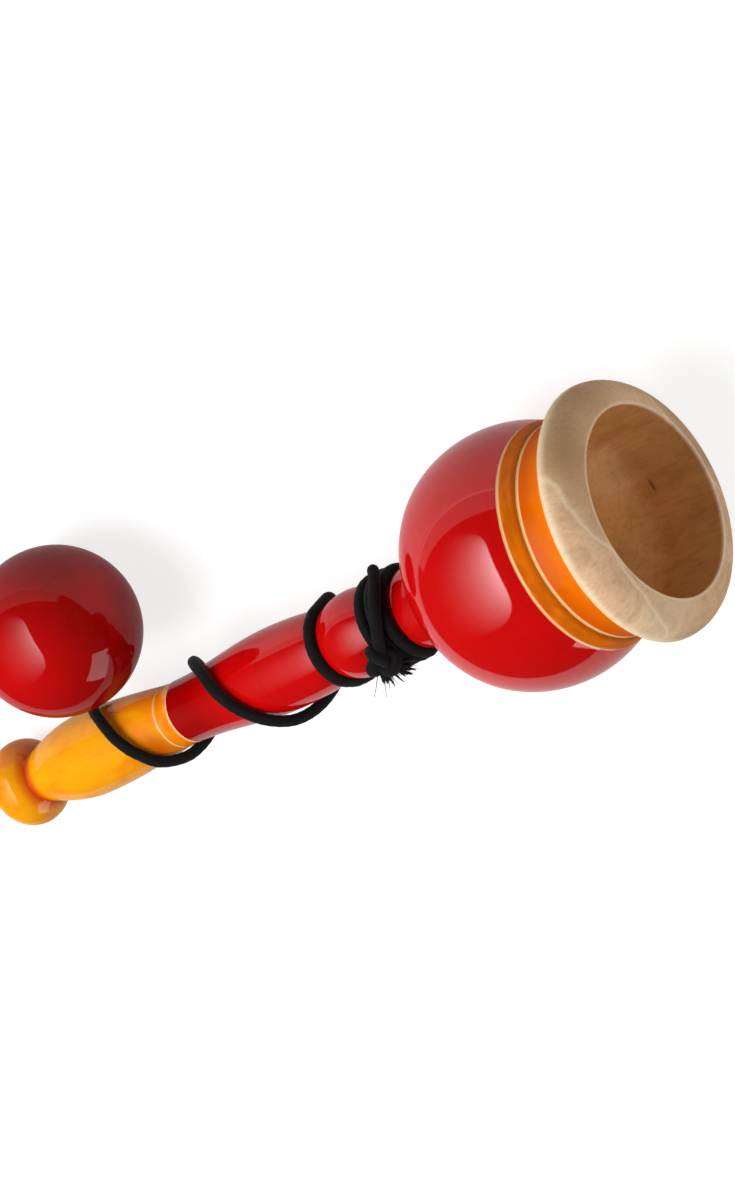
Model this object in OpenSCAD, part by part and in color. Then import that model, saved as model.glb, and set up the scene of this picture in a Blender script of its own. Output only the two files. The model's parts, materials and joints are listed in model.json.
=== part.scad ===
// Turned wooden cup and ball toy, lying on a table with its cord wound round the handle.
// All sizes are in millimetres. The toy rests on the cup's belly, the pommel and the ball.

/* [Cup] */
// Diameter of the straight bore at the mouth, which takes the ball
mouth_d = 46; // [44:0.5:48]
// Depth of the straight part of the bore
bore_depth = 16; // [12:0.5:20]
// Radius of the round corner between the bore and the flat floor
floor_corner_r = 9; // [5:0.5:12]
// How far the belly stands out from the wall of the bore
belly_out = 8.45; // [7.5:0.05:11]
// Distance from the mouth plane back to the middle of the belly
mouth_to_belly = 37.9; // [36:0.1:41]
// Radius of the rounder shoulder between the belly and the base
shoulder_r = 23.2; // [22:0.1:27]
// Angle behind the middle of the belly where the shoulder starts
shoulder_angle = 24; // [20:1:35]
// How far the widest part of the rim stands out from the wall of the bore
rim_out = 8; // [6.5:0.1:10]
// Distance from the mouth plane back to the widest part of the rim
rim_front_l = 7.1; // [5:0.1:9]
// Width of the flat ring round the mouth
mouth_land = 0.3; // [0.2:0.1:1.5]
// Radius of the worn edge on the back of the rim
rim_back_r = 0.7; // [0.3:0.1:1.5]
// Thickness of the wall where the second band meets the back of the rim
rim_root_wall = 2.8; // [2.2:0.1:3.5]
// Distance from the mouth plane to the line where the red ends and the first band starts
band_line = 22.7; // [21:0.1:25]
// Width of the first band, measured along the axis
band_w = 4.6; // [3:0.1:6]
// Thickness of the wall at the start of the first band
band_start_wall = 4.75; // [4:0.05:5]
// Thickness of the wall at the line between the first and the second band
band_wall = 3.25; // [2.5:0.05:4]
// Depth of the hollow of the second band
band_cove = 0.7; // [0.2:0.1:1.2]

/* [Handle] */
// Diameter of the pommel
pommel_d = 23.8; // [20:0.1:28]
// Radius of the pommel's rounding
pommel_edge_r = 6.9; // [5:0.1:7.5]
// Distance from the widest part of the pommel to the tail groove
pommel_l = 7.1; // [6.8:0.1:10]
// Diameter at the bottom of the tail groove
tail_groove_d = 14.6; // [12:0.1:15]
// Length of the grip's rounded end, from the tail groove to the fullest part
grip_end_l = 19.9; // [16:0.1:26]
// Diameter of the grip at its fullest
grip_d = 22.3; // [20:0.1:25]
// Length from the fullest part of the grip to the lower ring groove
grip_l = 33.5; // [28:0.1:38]
// Distance between the two fine ring grooves
ring_gap = 4.8; // [3:0.1:7]
// Width of a fine ring groove
ring_w = 0.8; // [0.4:0.1:1.2]
// Depth of a fine ring groove
ring_depth = 0.4; // [0.2:0.1:0.6]
// Depth of the hollow between the two ring grooves
ring_cove = 0.3; // [0.1:0.1:0.6]
// Diameter of the waist at the ring grooves
waist_d = 17; // [16:0.1:19]
// Diameter of the upper swelling
swell_d = 22; // [21:0.1:25]
// Length from the upper ring groove to the fullest part of the swelling
swell_rise_l = 35; // [30:0.1:42]
// Length from the fullest part of the swelling to the cord groove
swell_fall_l = 20.3; // [17:0.1:26]
// Diameter at the bottom of the cord groove
groove_floor_d = 16.4; // [15:0.1:17.5]
// Diameter of the bead
bead_d = 22; // [21:0.1:23]
// Length of the bead, from the cord groove to the neck
bead_l = 16.4; // [14:0.1:19]
// Diameter of the neck under the tied turns
neck_d = 18; // [16:0.1:18.2]
// Length of the neck
neck_l = 11.9; // [11.8:0.1:14]
// Diameter of the collar at the cup
collar_d = 21.8; // [21:0.1:23]
// Diameter of the collar at the neck
collar_neck_d = 20.8; // [20:0.1:21]
// Length of the collar
collar_l = 10.5; // [8:0.1:14]
// Diameter of the tenon
tenon_d = 12; // [9:0.5:14]
// Length of the tenon
tenon_l = 14; // [10:0.5:18]

/* [Ball] */
// Diameter of the ball
ball_d = 44; // [40:0.5:45]
// Distance of the ball's middle from the tail end, along the handle
ball_station = 59.2; // [54:0.1:66]
// Distance of the ball's middle from the handle's axis, to the side
ball_side = 37; // [36.5:0.5:42]
// Angle of the cord hole below the tail direction of the handle
hole_dip = 24; // [15:1:35]
// Diameter of the plug that closes the hole
plug_d = 9; // [8:0.5:12]
// Length of the plug
plug_l = 8; // [6:0.5:12]
// Diameter of the stopper knot
stopper_d = 6.4; // [5:0.1:7]

/* [Cord] */
// Diameter of the cord
cord_d = 3; // [2.6:0.1:3.2]
// Number of turns tied round the neck
wrap_turns = 2.5; // [1.5:1:2.5]
// Distance from one tied turn to the next
wrap_pitch = 3.45; // [3.42:0.01:3.48]

/* [Fits] */
// Gap round the tenon in its socket, filled with glue
glue_gap = 0.05; // [0.02:0.01:0.1]
// Room left beyond the end of the tenon
socket_end_gap = 1; // [0.5:0.1:2]
// Gap round the plug in the ball
plug_gap = 0.03; // [0.01:0.01:0.1]
// Gap between the cord and what it lies on or passes through
cord_gap = 0.15; // [0.1:0.05:0.3]
// More room for the cord in its groove
groove_room = 0.1; // [0.05:0.05:0.3]
// Room round the stopper knot in the ball
stopper_gap = 0.3; // [0.2:0.1:1]

/* [Hidden] */

// Roundness of revolved pieces and the number of steps along one curve of an outline
$fn = 96;
curve_steps = 16;
small_steps = 8;

// Lacquer and wood colours
red = "#C80A0A";
dark_red = "#8E0C0C";
bare_wood = "#B98F62";
cord_black = "#17151A";

// Radii that several outlines share
bore_r = mouth_d / 2;
belly_r = bore_r + belly_out;
rim_r = bore_r + rim_out;
pommel_r = pommel_d / 2;
ball_r = ball_d / 2;
waist_r = waist_d / 2;
grip_r = grip_d / 2;
swell_r = swell_d / 2;
bead_r = bead_d / 2;
collar_r = collar_d / 2;
cord_r = cord_d / 2;

// The cord groove is a half-round hollow, a little wider than the cord, so that the cord lies half sunk in it
groove_r = cord_r + cord_gap + groove_room;
groove_lip_r = groove_floor_d / 2 + groove_r;
// Height of the step from the bead down to the neck
bead_step = 0.6;

// Stations along the axis, from the tail end
pommel_at = pommel_edge_r;
tail_groove_at = pommel_at + pommel_l;
grip_at = tail_groove_at + grip_end_l;
low_ring_at = grip_at + grip_l;
high_ring_at = low_ring_at + ring_gap;
swell_at = high_ring_at + swell_rise_l;
groove_at = swell_at + swell_fall_l;
neck_at = groove_at + bead_l;
bead_at = (groove_at + groove_r + neck_at) / 2;
collar_at = neck_at + neck_l;
base_at = collar_at + collar_l;

// The shoulder is an arc that leaves the belly's arc smoothly and ends at the collar's edge
shoulder_mid_r = (belly_r - shoulder_r) * cos(shoulder_angle);
shoulder_back = (belly_r - shoulder_r) * sin(shoulder_angle);
base_to_belly = shoulder_back + sqrt(pow(shoulder_r, 2) - pow(collar_r - shoulder_mid_r, 2));
belly_at = base_at + base_to_belly;
mouth_at = belly_at + mouth_to_belly;
rim_at = mouth_at - rim_front_l;
band_at = mouth_at - band_line;
band_end_at = band_at + band_w;
hollow_depth = bore_depth + floor_corner_r;

// Lying pose: the line under the belly and the pommel is level, so the axis rises towards the cup
pommel_mid_r = pommel_r - pommel_edge_r;
rest_span = belly_at - pommel_at;
tilt = asin((belly_r - pommel_edge_r) / norm([rest_span, pommel_mid_r])) - atan2(pommel_mid_r, rest_span);
axis_height = belly_r - belly_at * sin(tilt);

// Height of the ball's middle above the handle's axis, with the ball on the table
ball_up = (ball_r - axis_height - ball_station * sin(tilt)) / cos(tilt);

// Box of the lying toy, which puts the origin under its middle
mouth_edge_r = bore_r + mouth_land;
far_x = rim_at * cos(tilt) + mouth_edge_r * sin(tilt)
    + norm([rim_front_l * cos(tilt), (rim_r - mouth_edge_r) * sin(tilt)]);
near_x = pommel_at * cos(tilt) - pommel_mid_r * sin(tilt) - pommel_edge_r;
mid_x = (far_x + near_x) / 2;
mid_y = (ball_side + ball_r - max(belly_r, rim_r)) / 2;

// Stretches of an outline. Each goes on from the point before it, which it leaves out.
// An arc from angle a0 to a1
function arc(mid, r, a0, a1, steps) =
    [for (i = [1:steps]) let (a = a0 + (a1 - a0) * i / steps) mid + r * [cos(a), sin(a)]];

// A curve that leaves from[] level with the axis and falls away to to[]
function falling(from, to, steps) =
    [for (i = [1:steps]) let (u = i / steps)
        [to[0] + (from[0] - to[0]) * cos(90 * u), from[1] + (to[1] - from[1]) * u]];

// A curve that rises steeply from from[] and comes level with the axis at to[]
function rising(from, to, steps) =
    [for (i = [1:steps]) let (u = i / steps)
        [from[0] + (to[0] - from[0]) * sin(90 * u), from[1] + (to[1] - from[1]) * u]];

// A quarter of an ellipse, level with the axis at from[] and square to it at to[]
function round_over(from, to, steps) =
    [for (i = [1:steps]) let (a = 90 * i / steps)
        [to[0] + (from[0] - to[0]) * cos(a), from[1] + (to[1] - from[1]) * sin(a)]];

// A half wave, level with the axis at both ends
function wave(from, to, steps) =
    [for (i = [1:steps]) let (u = i / steps)
        [from[0] + (to[0] - from[0]) * (1 - cos(180 * u)) / 2, from[1] + (to[1] - from[1]) * u]];

// A shallow hollow between two points of the same outline
function cove(from, to, depth, steps) =
    [for (i = [1:steps]) let (u = i / steps)
        from + (to - from) * u - [depth * sin(180 * u), 0]];

// A fine V groove, from its near edge
function fine_ring(r, at) = [[r - ring_depth, at], [r, at + ring_w / 2]];

// Handle's outline, from the pommel to the tenon, and its radius at a station
handle_outline = concat(
    [[0, 0], [pommel_mid_r, 0]],
    arc([pommel_mid_r, pommel_at], pommel_edge_r, -90, 60, curve_steps),
    [[tail_groove_d / 2, tail_groove_at]],
    rising([tail_groove_d / 2, tail_groove_at], [grip_r, grip_at], curve_steps),
    falling([grip_r, grip_at], [waist_r, low_ring_at - ring_w / 2], curve_steps),
    fine_ring(waist_r, low_ring_at),
    cove([waist_r, low_ring_at + ring_w / 2], [waist_r, high_ring_at - ring_w / 2], ring_cove, small_steps),
    fine_ring(waist_r, high_ring_at),
    wave([waist_r, high_ring_at + ring_w / 2], [swell_r, swell_at], 2 * curve_steps),
    falling([swell_r, swell_at], [groove_lip_r, groove_at - groove_r], curve_steps),
    arc([groove_lip_r, groove_at], groove_r, 270, 90, curve_steps),
    rising([groove_lip_r, groove_at + groove_r], [bead_r, bead_at], curve_steps),
    falling([bead_r, bead_at], [neck_d / 2 + bead_step, neck_at], curve_steps),
    [[neck_d / 2, neck_at], [neck_d / 2, collar_at]],
    [[collar_neck_d / 2, collar_at], [collar_r, base_at]],
    [[tenon_d / 2, base_at], [tenon_d / 2, base_at + tenon_l], [0, base_at + tenon_l]]);
function handle_r(at) = lookup(at, [for (p = handle_outline) [p[1], p[0]]]);

// Cord routes: a point round the handle is [turn, along, out] with turn 0 on top and 90 towards the ball
function round_handle(p) = [-p[2] * cos(p[0]), p[2] * sin(p[0]), p[1]];
// A point beside the handle is [along, side, up]
function beside_handle(p) = [-p[2], p[1], p[0]];

function unit(v) = v / norm(v);

// Smooth curve through a list of points
function curve_point(a, b, c, d, u) =
    0.5 * (2 * b + (c - a) * u + (2 * a - 5 * b + 4 * c - d) * u * u + (3 * b - a - 3 * c + d) * u * u * u);
function smooth(points, steps) =
    let (last = len(points) - 1)
    concat([for (i = [0:last - 1]) for (k = [0:steps - 1])
                curve_point(points[max(i - 1, 0)], points[i], points[i + 1], points[min(i + 2, last)], k / steps)],
           [points[last]]);

// Directions along a route, and directions across it that turn as little as they can
function along(points) =
    let (last = len(points) - 1)
    [for (i = [0:last]) unit(points[min(i + 1, last)] - points[max(i - 1, 0)])];
function across(dirs, found) =
    len(found) == len(dirs) ? found :
    let (d = dirs[len(found)], v = found[len(found) - 1])
    across(dirs, concat(found, [unit(v - d * (v * d))]));

// Least gap between the stretches of one cord that are more than skip points apart
function least_gap(points, d, skip) =
    min([for (i = [0:len(points) - 1 - skip]) for (j = [i + skip:len(points) - 1]) norm(points[i] - points[j])]) - d;

// A round cord along a route
module tube(points, d, sides) {
    dirs = along(points);
    first = cross(dirs[0], abs(dirs[0][2]) < 0.9 ? [0, 0, 1] : [0, 1, 0]);
    u = across(dirs, [unit(first)]);
    rings = len(points);
    skin = [for (i = [0:rings - 1]) let (v = cross(dirs[i], u[i])) for (k = [0:sides - 1])
        points[i] + d / 2 * (u[i] * cos(360 * k / sides) + v * sin(360 * k / sides))];
    sleeve = [for (i = [0:rings - 2]) for (k = [0:sides - 1])
        let (a = i * sides + k, b = i * sides + (k + 1) % sides)
        each [[a, a + sides, b + sides], [a, b + sides, b]]];
    end = (rings - 1) * sides;
    ends = [for (k = [1:sides - 2]) each [[0, k, k + 1], [end, end + k + 1, end + k]]];
    polyhedron(skin, concat(sleeve, ends));
}

// Turns of the neck wrap: a helix whose ends run straight for one cord diameter
wrap_sides = 6;
turn_steps = 24;
wrap_r = neck_d / 2 + cord_gap + cord_r;
wrap_first_turn = -60;
wrap_first_at = collar_at - cord_r - cord_gap;
wrap_steps = wrap_turns * turn_steps;
wrap_helix = [for (i = [0:wrap_steps])
    round_handle([wrap_first_turn + 360 * i / turn_steps, wrap_first_at - wrap_pitch * i / turn_steps, wrap_r])];
wrap_start_dir = unit(wrap_helix[1] - wrap_helix[0]);
wrap_end_dir = unit(wrap_helix[wrap_steps] - wrap_helix[wrap_steps - 1]);
wrap_end = wrap_helix[wrap_steps] + wrap_end_dir * cord_d;
wrap_route = concat([wrap_helix[0] - wrap_start_dir * cord_d], wrap_helix, [wrap_end]);

// Loose winding, from the wrap under the bead into its groove, then twice round the handle to the top of the grip.
// Each point is [turn, distance past the cord groove, slack], and its height follows the handle's outline.
winding_steps = 2;
winding_hand = [[168, 14.5, 1], [190, 11, 0.6], [210, 7.6, 0.4], [228, 4.4, 0.4], [246, 2, 0.5], [264, 0.6, 1.5],
    [284, 0, 0.5], [300, 0, 0], [330, 0, 0], [360, 0, 0], [390, 0, 0], [420, 0, 0], [445, 0, 0], [460, 0, 0],
    [480, -0.2, 0.8], [497, -1, 2], [515, -3.2, 0.6], [540, -6.5, 0.7], [570, -10, 0.9], [600, -14, 0.8],
    [630, -18, 0.5], [660, -21.5, 0.4], [690, -24.7, 0.2], [720, -28.9, 0.1], [750, -33.1, 0.1],
    [780, -37.3, 0.1], [810, -43, 0.2], [840, -48, 0.4], [870, -52, 1], [900, -54.8, 1.6], [930, -56.8, 1.3],
    [960, -58.5, 0.8], [990, -60.2, 0.3], [1020, -62.5, 0.2], [1050, -66.5, 0.1], [1080, -69, 0.1]];
function on_handle(turn, at, slack) = round_handle([turn, at, handle_r(at) + cord_r + cord_gap + slack]);
winding_points = [for (p = winding_hand) on_handle(p[0], groove_at + p[1], p[2])];
winding_route = concat([wrap_end], smooth(concat([wrap_end + wrap_end_dir * cord_d], winding_points), winding_steps));

// Tether, from the top of the grip down beside it, over the table and back into the ball
tether_sides = 8;
tether_steps = 2;
tether_start_gap = 0.4;
tether_hand = [[57, 3, 11.3], [55.2, 5.9, 10.4], [53.4, 8.4, 8.8], [51.3, 10.5, 6.6], [48.8, 12, 3.9],
    [46.2, 12.8, 0.4], [44, 13.3, -3.8], [41.4, 14.4, -7.8], [38, 16.6, -11], [34, 19.5, -12.7],
    [29.3, 23, -12.5], [25.6, 27.2, -12], [24.2, 31.8, -11.9], [26, 35.6, -11.6]];
ball_mid = [-ball_up, ball_side, ball_station];
hole_dir = [sin(hole_dip), 0, -cos(hole_dip)];
hole_lead = 8;
plug_face = sqrt(pow(ball_r, 2) - pow(plug_d / 2, 2));
stopper_face = plug_face - plug_l;
// Depth of the flat on the stopper knot, where the cord comes out of it
stopper_flat = 0.5;
stopper_top = stopper_face - stopper_gap;
stopper_mid = stopper_top + stopper_flat - stopper_d / 2;
tether_first = winding_route[len(winding_route) - 1];
tether_start_dir = unit(tether_first - winding_route[len(winding_route) - 2]);
tether_route = concat(
    smooth(concat([tether_first + tether_start_dir * tether_start_gap],
                  [for (p = tether_hand) beside_handle(p)],
                  [ball_mid + hole_dir * (ball_r + hole_lead)],
                  [ball_mid + hole_dir * ball_r]), tether_steps),
    [ball_mid + hole_dir * stopper_top]);

// Knot on the wrap, its two tails and the strand that ties it.
// Each point is [turn, distance past the neck's lower end, distance above the wrap].
knot_turn = -12;
knot_along = 3.8;
knot_loop_r = 2.7;
knot_cord_d = 2.8;
knot_tilt = 40;
wrap_top_r = wrap_r + cord_r;
tail_steps = 2;
tail_hand = [
    [[-20, 2.8, 1.8], [-27, 2, 2.1], [-34, 1.2, 2.5], [-41, 0.4, 2.9], [-47, -0.6, 3.2]],
    [[-20, 5, 1.8], [-28, 5.9, 2], [-36, 6.6, 2.2], [-44, 7, 2.4], [-51, 7.2, 2.6]]];
strand_hand = [[87, 8.6, 2.8], [80, 9.6, 2.1], [66, 10.3, 1.7], [48, 10.2, 1.7], [32, 9.2, 1.7], [16, 7.7, 1.7],
    [2, 5.9, 1.7], [-6, 4.8, 1.7]];
function on_wrap(p) = round_handle([p[0], neck_at + p[1], wrap_top_r + p[2]]);
function wrap_line(points) = smooth([for (p = points) on_wrap(p)], tail_steps);

echo(neck_wrap_least_gap = least_gap(wrap_route, cord_d, turn_steps / 2));
echo(loose_winding_least_gap = least_gap(winding_route, cord_d, turn_steps / 2));

// Lying pose of everything that is built along the handle's axis
module lying() {
    translate([-mid_x, -mid_y, axis_height]) rotate([0, 90 - tilt, 0]) children();
}

module at_ball_hole() {
    translate(ball_mid) rotate([0, 180 - hole_dip, 0]) children();
}

// Cup: rim, bands, belly and shoulder outside; bore, round corner and floor inside; socket in the base
module cup() {
    band_angle = asin((band_at - ring_w / 2 - belly_at) / belly_r);
    band_r = belly_r * cos(band_angle);
    band_end_r = bore_r + band_wall;
    socket_r = tenon_d / 2 + glue_gap;
    socket_end = base_at + tenon_l + socket_end_gap;
    shoulder_mid = [shoulder_mid_r, belly_at - shoulder_back];
    shoulder_from = -asin((shoulder_mid[1] - base_at) / shoulder_r);
    rim_back_mid = [rim_r - rim_back_r, rim_at];
    floor_corner_mid = [bore_r - floor_corner_r, mouth_at - bore_depth];
    outside = concat(
        [[collar_r, base_at]],
        arc(shoulder_mid, shoulder_r, shoulder_from, -shoulder_angle, curve_steps),
        arc([0, belly_at], belly_r, -shoulder_angle, band_angle, 2 * curve_steps),
        fine_ring(band_r, band_at),
        [[bore_r + band_start_wall, band_at + ring_w / 2], [band_end_r, band_end_at - ring_w / 2]],
        fine_ring(band_end_r, band_end_at),
        cove([band_end_r, band_end_at + ring_w / 2], [bore_r + rim_root_wall, rim_at - rim_back_r], band_cove, small_steps),
        [rim_back_mid - [0, rim_back_r]],
        arc(rim_back_mid, rim_back_r, -90, 0, small_steps),
        round_over([rim_r, rim_at], [mouth_edge_r, mouth_at], curve_steps));
    inside = concat(
        [[bore_r, mouth_at], [bore_r, mouth_at - bore_depth]],
        arc(floor_corner_mid, floor_corner_r, 0, -90, curve_steps),
        [[0, mouth_at - hollow_depth]]);
    socket = [[0, socket_end], [socket_r, socket_end], [socket_r, base_at]];
    color(red) lying() rotate_extrude() polygon(concat(outside, inside, socket));
}

// Handle: one turning from the pommel to the tenon
module handle() {
    color(red) lying() rotate_extrude() polygon(handle_outline);
}

// Ball, with its blind hole: a seat for the plug and a chamber for the stopper knot behind it
module ball() {
    chamber_d = stopper_d + 2 * stopper_gap;
    chamber_from = stopper_mid - chamber_d / 2;
    color(dark_red) lying() at_ball_hole() difference() {
        sphere(d = ball_d);
        translate([0, 0, stopper_face]) cylinder(d = plug_d, h = ball_r);
        translate([0, 0, chamber_from]) cylinder(d = chamber_d, h = ball_r - chamber_from);
    }
}

// Plug: a bored bush that ends flush with the ball
module ball_plug() {
    color(bare_wood) lying() at_ball_hole() difference() {
        intersection() {
            sphere(d = ball_d);
            translate([0, 0, stopper_face]) cylinder(d = plug_d - 2 * plug_gap, h = ball_r);
        }
        cylinder(d = cord_d + 2 * cord_gap, h = ball_d);
    }
}

// Stopper knot: a round knot, with a flat where the cord comes out
module stopper_knot() {
    color(cord_black) lying() at_ball_hole() difference() {
        translate([0, 0, stopper_mid]) sphere(d = stopper_d);
        translate([0, 0, stopper_top]) cylinder(d = stopper_d, h = stopper_d);
    }
}

module neck_wrap() {
    color(cord_black) lying() tube(wrap_route, cord_d, wrap_sides);
}

// Knot: one loop of cord lying on the wrap, with the other drawn through it
module neck_knot() {
    color(cord_black) lying() translate(on_wrap([knot_turn, knot_along, cord_gap + knot_cord_d / 2]))
        rotate([0, 0, -knot_turn]) rotate([0, -90, 0]) {
            knot_loop();
            translate([0, 0, knot_loop_r * sin(knot_tilt)]) rotate([0, knot_tilt, 0]) knot_loop();
        }
}

module knot_loop() {
    rotate_extrude() translate([knot_loop_r, 0]) circle(d = knot_cord_d);
}

module knot_tails() {
    color(cord_black) lying() for (route = tail_hand) tube(wrap_line(route), cord_d, tether_sides);
}

module tie_strand() {
    color(cord_black) lying() tube(wrap_line(strand_hand), cord_d, tether_sides);
}

module loose_winding() {
    color(cord_black) lying() tube(winding_route, cord_d, wrap_sides);
}

module tether() {
    color(cord_black) lying() tube(tether_route, cord_d, tether_sides);
}

cup();
handle();
ball();
ball_plug();
stopper_knot();
neck_wrap();
neck_knot();
knot_tails();
tie_strand();
loose_winding();
tether();
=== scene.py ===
"""Dresses the turned cup and ball toy around its CAD frame.

The cup, the handle and the ball are turned and lacquered, and a black cord is wound round the handle,
tied on its neck and led to the ball.
"""

import json
import random
from math import acos, asin, cos, degrees, pi, radians, sin, sqrt

import bmesh
import bpy
from mathutils import Matrix, Vector

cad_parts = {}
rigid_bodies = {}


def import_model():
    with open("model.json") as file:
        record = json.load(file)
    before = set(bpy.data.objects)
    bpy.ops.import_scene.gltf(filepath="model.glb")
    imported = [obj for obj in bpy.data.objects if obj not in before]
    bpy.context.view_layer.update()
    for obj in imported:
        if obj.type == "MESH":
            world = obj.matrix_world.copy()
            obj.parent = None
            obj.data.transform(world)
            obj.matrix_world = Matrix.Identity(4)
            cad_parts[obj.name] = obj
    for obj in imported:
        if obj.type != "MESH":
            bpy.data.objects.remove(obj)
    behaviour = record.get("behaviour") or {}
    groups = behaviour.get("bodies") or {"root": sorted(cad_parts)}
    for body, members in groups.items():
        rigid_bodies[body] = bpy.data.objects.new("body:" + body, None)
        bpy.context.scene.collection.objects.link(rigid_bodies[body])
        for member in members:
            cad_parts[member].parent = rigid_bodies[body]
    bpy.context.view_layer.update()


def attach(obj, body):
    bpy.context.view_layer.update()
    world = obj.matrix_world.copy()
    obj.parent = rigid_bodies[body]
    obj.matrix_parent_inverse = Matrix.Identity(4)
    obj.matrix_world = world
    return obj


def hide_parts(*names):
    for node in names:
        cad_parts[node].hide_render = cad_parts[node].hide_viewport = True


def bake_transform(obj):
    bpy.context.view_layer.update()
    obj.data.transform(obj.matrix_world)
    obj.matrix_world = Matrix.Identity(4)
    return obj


bl_info = {
    "name": "Cup and ball toy",
    "version": (1, 0, 0),
    "blender": (4, 5, 0),
    "location": "3D View > Sidebar > Toy",
    "description": "Turns, lacquers and strings a cup and ball toy in its CAD frame",
    "category": "Object",
}

# Blender's start-up objects make room for the frame
for startup_object in list(bpy.data.objects):
    bpy.data.objects.remove(startup_object)
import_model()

MM = 0.001

# Lying pose: the axis starts at the tail end and rises towards the cup
TAIL = Vector((-115.582, -13.775, 11.1447))
TILT = radians(6.05145)
LYING = Matrix.Translation(TAIL) @ Matrix.Rotation(pi / 2 - TILT, 4, "Y")
TO_METRES = Matrix.Scale(MM, 4)

# Stations along the axis from the tail end, and radii there, in millimetres
POMMEL_EDGE_R, POMMEL_MID_R = 6.9, 5.0
TAIL_GROOVE_AT, TAIL_GROOVE_R = 14.0, 7.3
GRIP_AT, GRIP_R = 33.9, 11.15
LOW_RING_AT, HIGH_RING_AT, WAIST_R = 67.4, 72.2, 8.5
SWELL_AT, SWELL_R = 107.2, 11.0
GROOVE_AT, GROOVE_R, GROOVE_LIP_R = 127.5, 1.75, 9.95
BEAD_AT, BEAD_R = 136.575, 11.0
NECK_AT, NECK_R, BEAD_STEP = 143.9, 9.0, 0.6
COLLAR_AT, COLLAR_NECK_R = 155.8, 10.4
BASE_AT, COLLAR_R = 166.3, 10.9
TENON_R, TENON_L, GLUE_GAP, SOCKET_END_GAP = 6.0, 14.0, 0.05, 1.0
BELLY_AT, BELLY_R, SHOULDER_R, SHOULDER_ANGLE = 192.611, 31.45, 23.2, 24
BAND_AT, BAND_START_R = 207.811, 27.75
BAND_END_AT, BAND_END_R, BAND_COVE = 212.411, 26.25, 0.7
RIM_AT, RIM_R, RIM_ROOT_R, RIM_BACK_R = 223.411, 31.0, 25.8, 0.7
MOUTH_AT, BORE_R, MOUTH_EDGE_R = 230.511, 23.0, 23.3
BORE_DEPTH, FLOOR_CORNER_R = 16.0, 9.0
RING_W, RING_DEPTH, RING_COVE = 0.8, 0.4, 0.3

# Where the cup is bare wood: beyond one station, and in its hollow within a radius and beyond another
RIM_BARE_AT, HOLLOW_BARE_R = RIM_AT - RIM_BACK_R * 0.6, BORE_R + 0.2
HOLLOW_BARE_AT = MOUTH_AT - BORE_DEPTH - FLOOR_CORNER_R - 0.1
# Where the handle's tenon is bare, and a station that is beyond every piece
TENON_BARE_AT, BEYOND_ALL = BASE_AT + 0.1, 1e3

# Wear: how far the cord groove's lips roll over, and how quickly
LIP_ROLL, SWELL_ROLL_POWER, BEAD_ROLL_POWER = 0.7, 6, 3
# How far a sharp corner is worn, up to which share of its sides, in how many steps, from which turn
CORNER_WEAR, CORNER_SHARE, CORNER_STEPS, LEAST_CORNER = 0.22, 0.45, 4, 14
# Faces that meet at more than this angle keep their edge
SHARP_ANGLE = radians(50)
# Points of a turning that are nearer than this, in metres, are one
SAME_POINT = 1e-7

# The ball, its hole and its plug
BALL_R, BALL_MID, HOLE_DIP = 22.0, Vector((-4.64018, 37.0, 59.2)), 24
PLUG_R, PLUG_L, PLUG_GAP, PLUG_BORE_R = 4.5, 8.0, 0.03, 1.65
HOLE_BARE_R = PLUG_R - 0.05
STOPPER_D, STOPPER_GAP, STOPPER_FLAT = 6.4, 0.3, 0.5
PLUG_FACE = sqrt(BALL_R**2 - PLUG_R**2)
STOPPER_TOP = PLUG_FACE - PLUG_L - STOPPER_GAP
STOPPER_MID = STOPPER_TOP + STOPPER_FLAT - STOPPER_D / 2
HOLE_TURN = Matrix.Rotation(radians(180 - HOLE_DIP), 4, "Y")
BALL_HOLE = LYING @ Matrix.Translation(BALL_MID) @ HOLE_TURN
STOPPER_TURNS, STOPPER_STEPS, STOPPER_RISE = 2.0, 120, 1.6

# The lacquers: weight and index of their clear gloss, and the waver of their hand-held edges
RED_GLOSS, BAND_GLOSS, GRIP_GLOSS, BALL_GLOSS = 0.5, 0.08, 0.32, 0.26
GLOSS_IOR = 1.65
EDGE_WAVER = 0.16
# Reach of the painted shade at the first band's edge and in the second band's cove, of the painted
# shade on the red above the rings, and of the groove's orange
BAND_SHADE_REACH, BAND_COVE_SHADE_REACH = 2.2, 6.5
RED_SHADE_FROM, RED_SHADE_TO = HIGH_RING_AT + 5, HIGH_RING_AT + 24
GROOVE_TINT = (TAIL_GROOVE_AT - 1.3, TAIL_GROOVE_AT + 2.2)
# Where painted light makes the ball's lit top paler, and where a darker patch lies on the grip's top
BALL_LIT_TOP = (18.5, 2.8, -11.6)
GRIP_DARK_PATCH, GRIP_DARK_PATCH_R = (-9.5, -2.5, 62.5), 8.0

# The wood: spacing, bow, waver and start of its growth rings
GROWTH_RING, RING_BOW, RING_DRIFT, RING_SHIFT = 46.0, 0.0078, 8.0, 16.0
# A small dark knot in the hollow's wall, and the place and reach of painted light on the part of that
# wall that faces the light
WOOD_KNOT, WOOD_KNOT_TURN = (22.3, -5.7, 215.4), radians(18)
WOOD_KNOT_SHAPE = (0.3, 0.55, 1.9)
HOLLOW_LIT_WALL, HOLLOW_LIT_WALL_R = (22.5, 4.0, 208.0), 13.0
# How far out from the bore the painted highlight on the rim's back edge starts
RIM_HIGHLIGHT_OUT = 4
# Cloudy patches of painted light and shade on the wood, brown on the rim's shaded side and pale on its
# lit side and on the hollow's lit floor: place, reach, colour and strength
LIGHT_AND_SHADE_PATCHES = [
    ((-13, 25, 228), 13, "wood_brown", 0.7), ((5, 27, 228), 14, "wood_brown", 0.55),
    ((17, 1, 206), 12, "wood_pale", 0.4), ((-22, -18, 228), 16, "wood_lines_and_highlights", 0.45),
]

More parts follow.
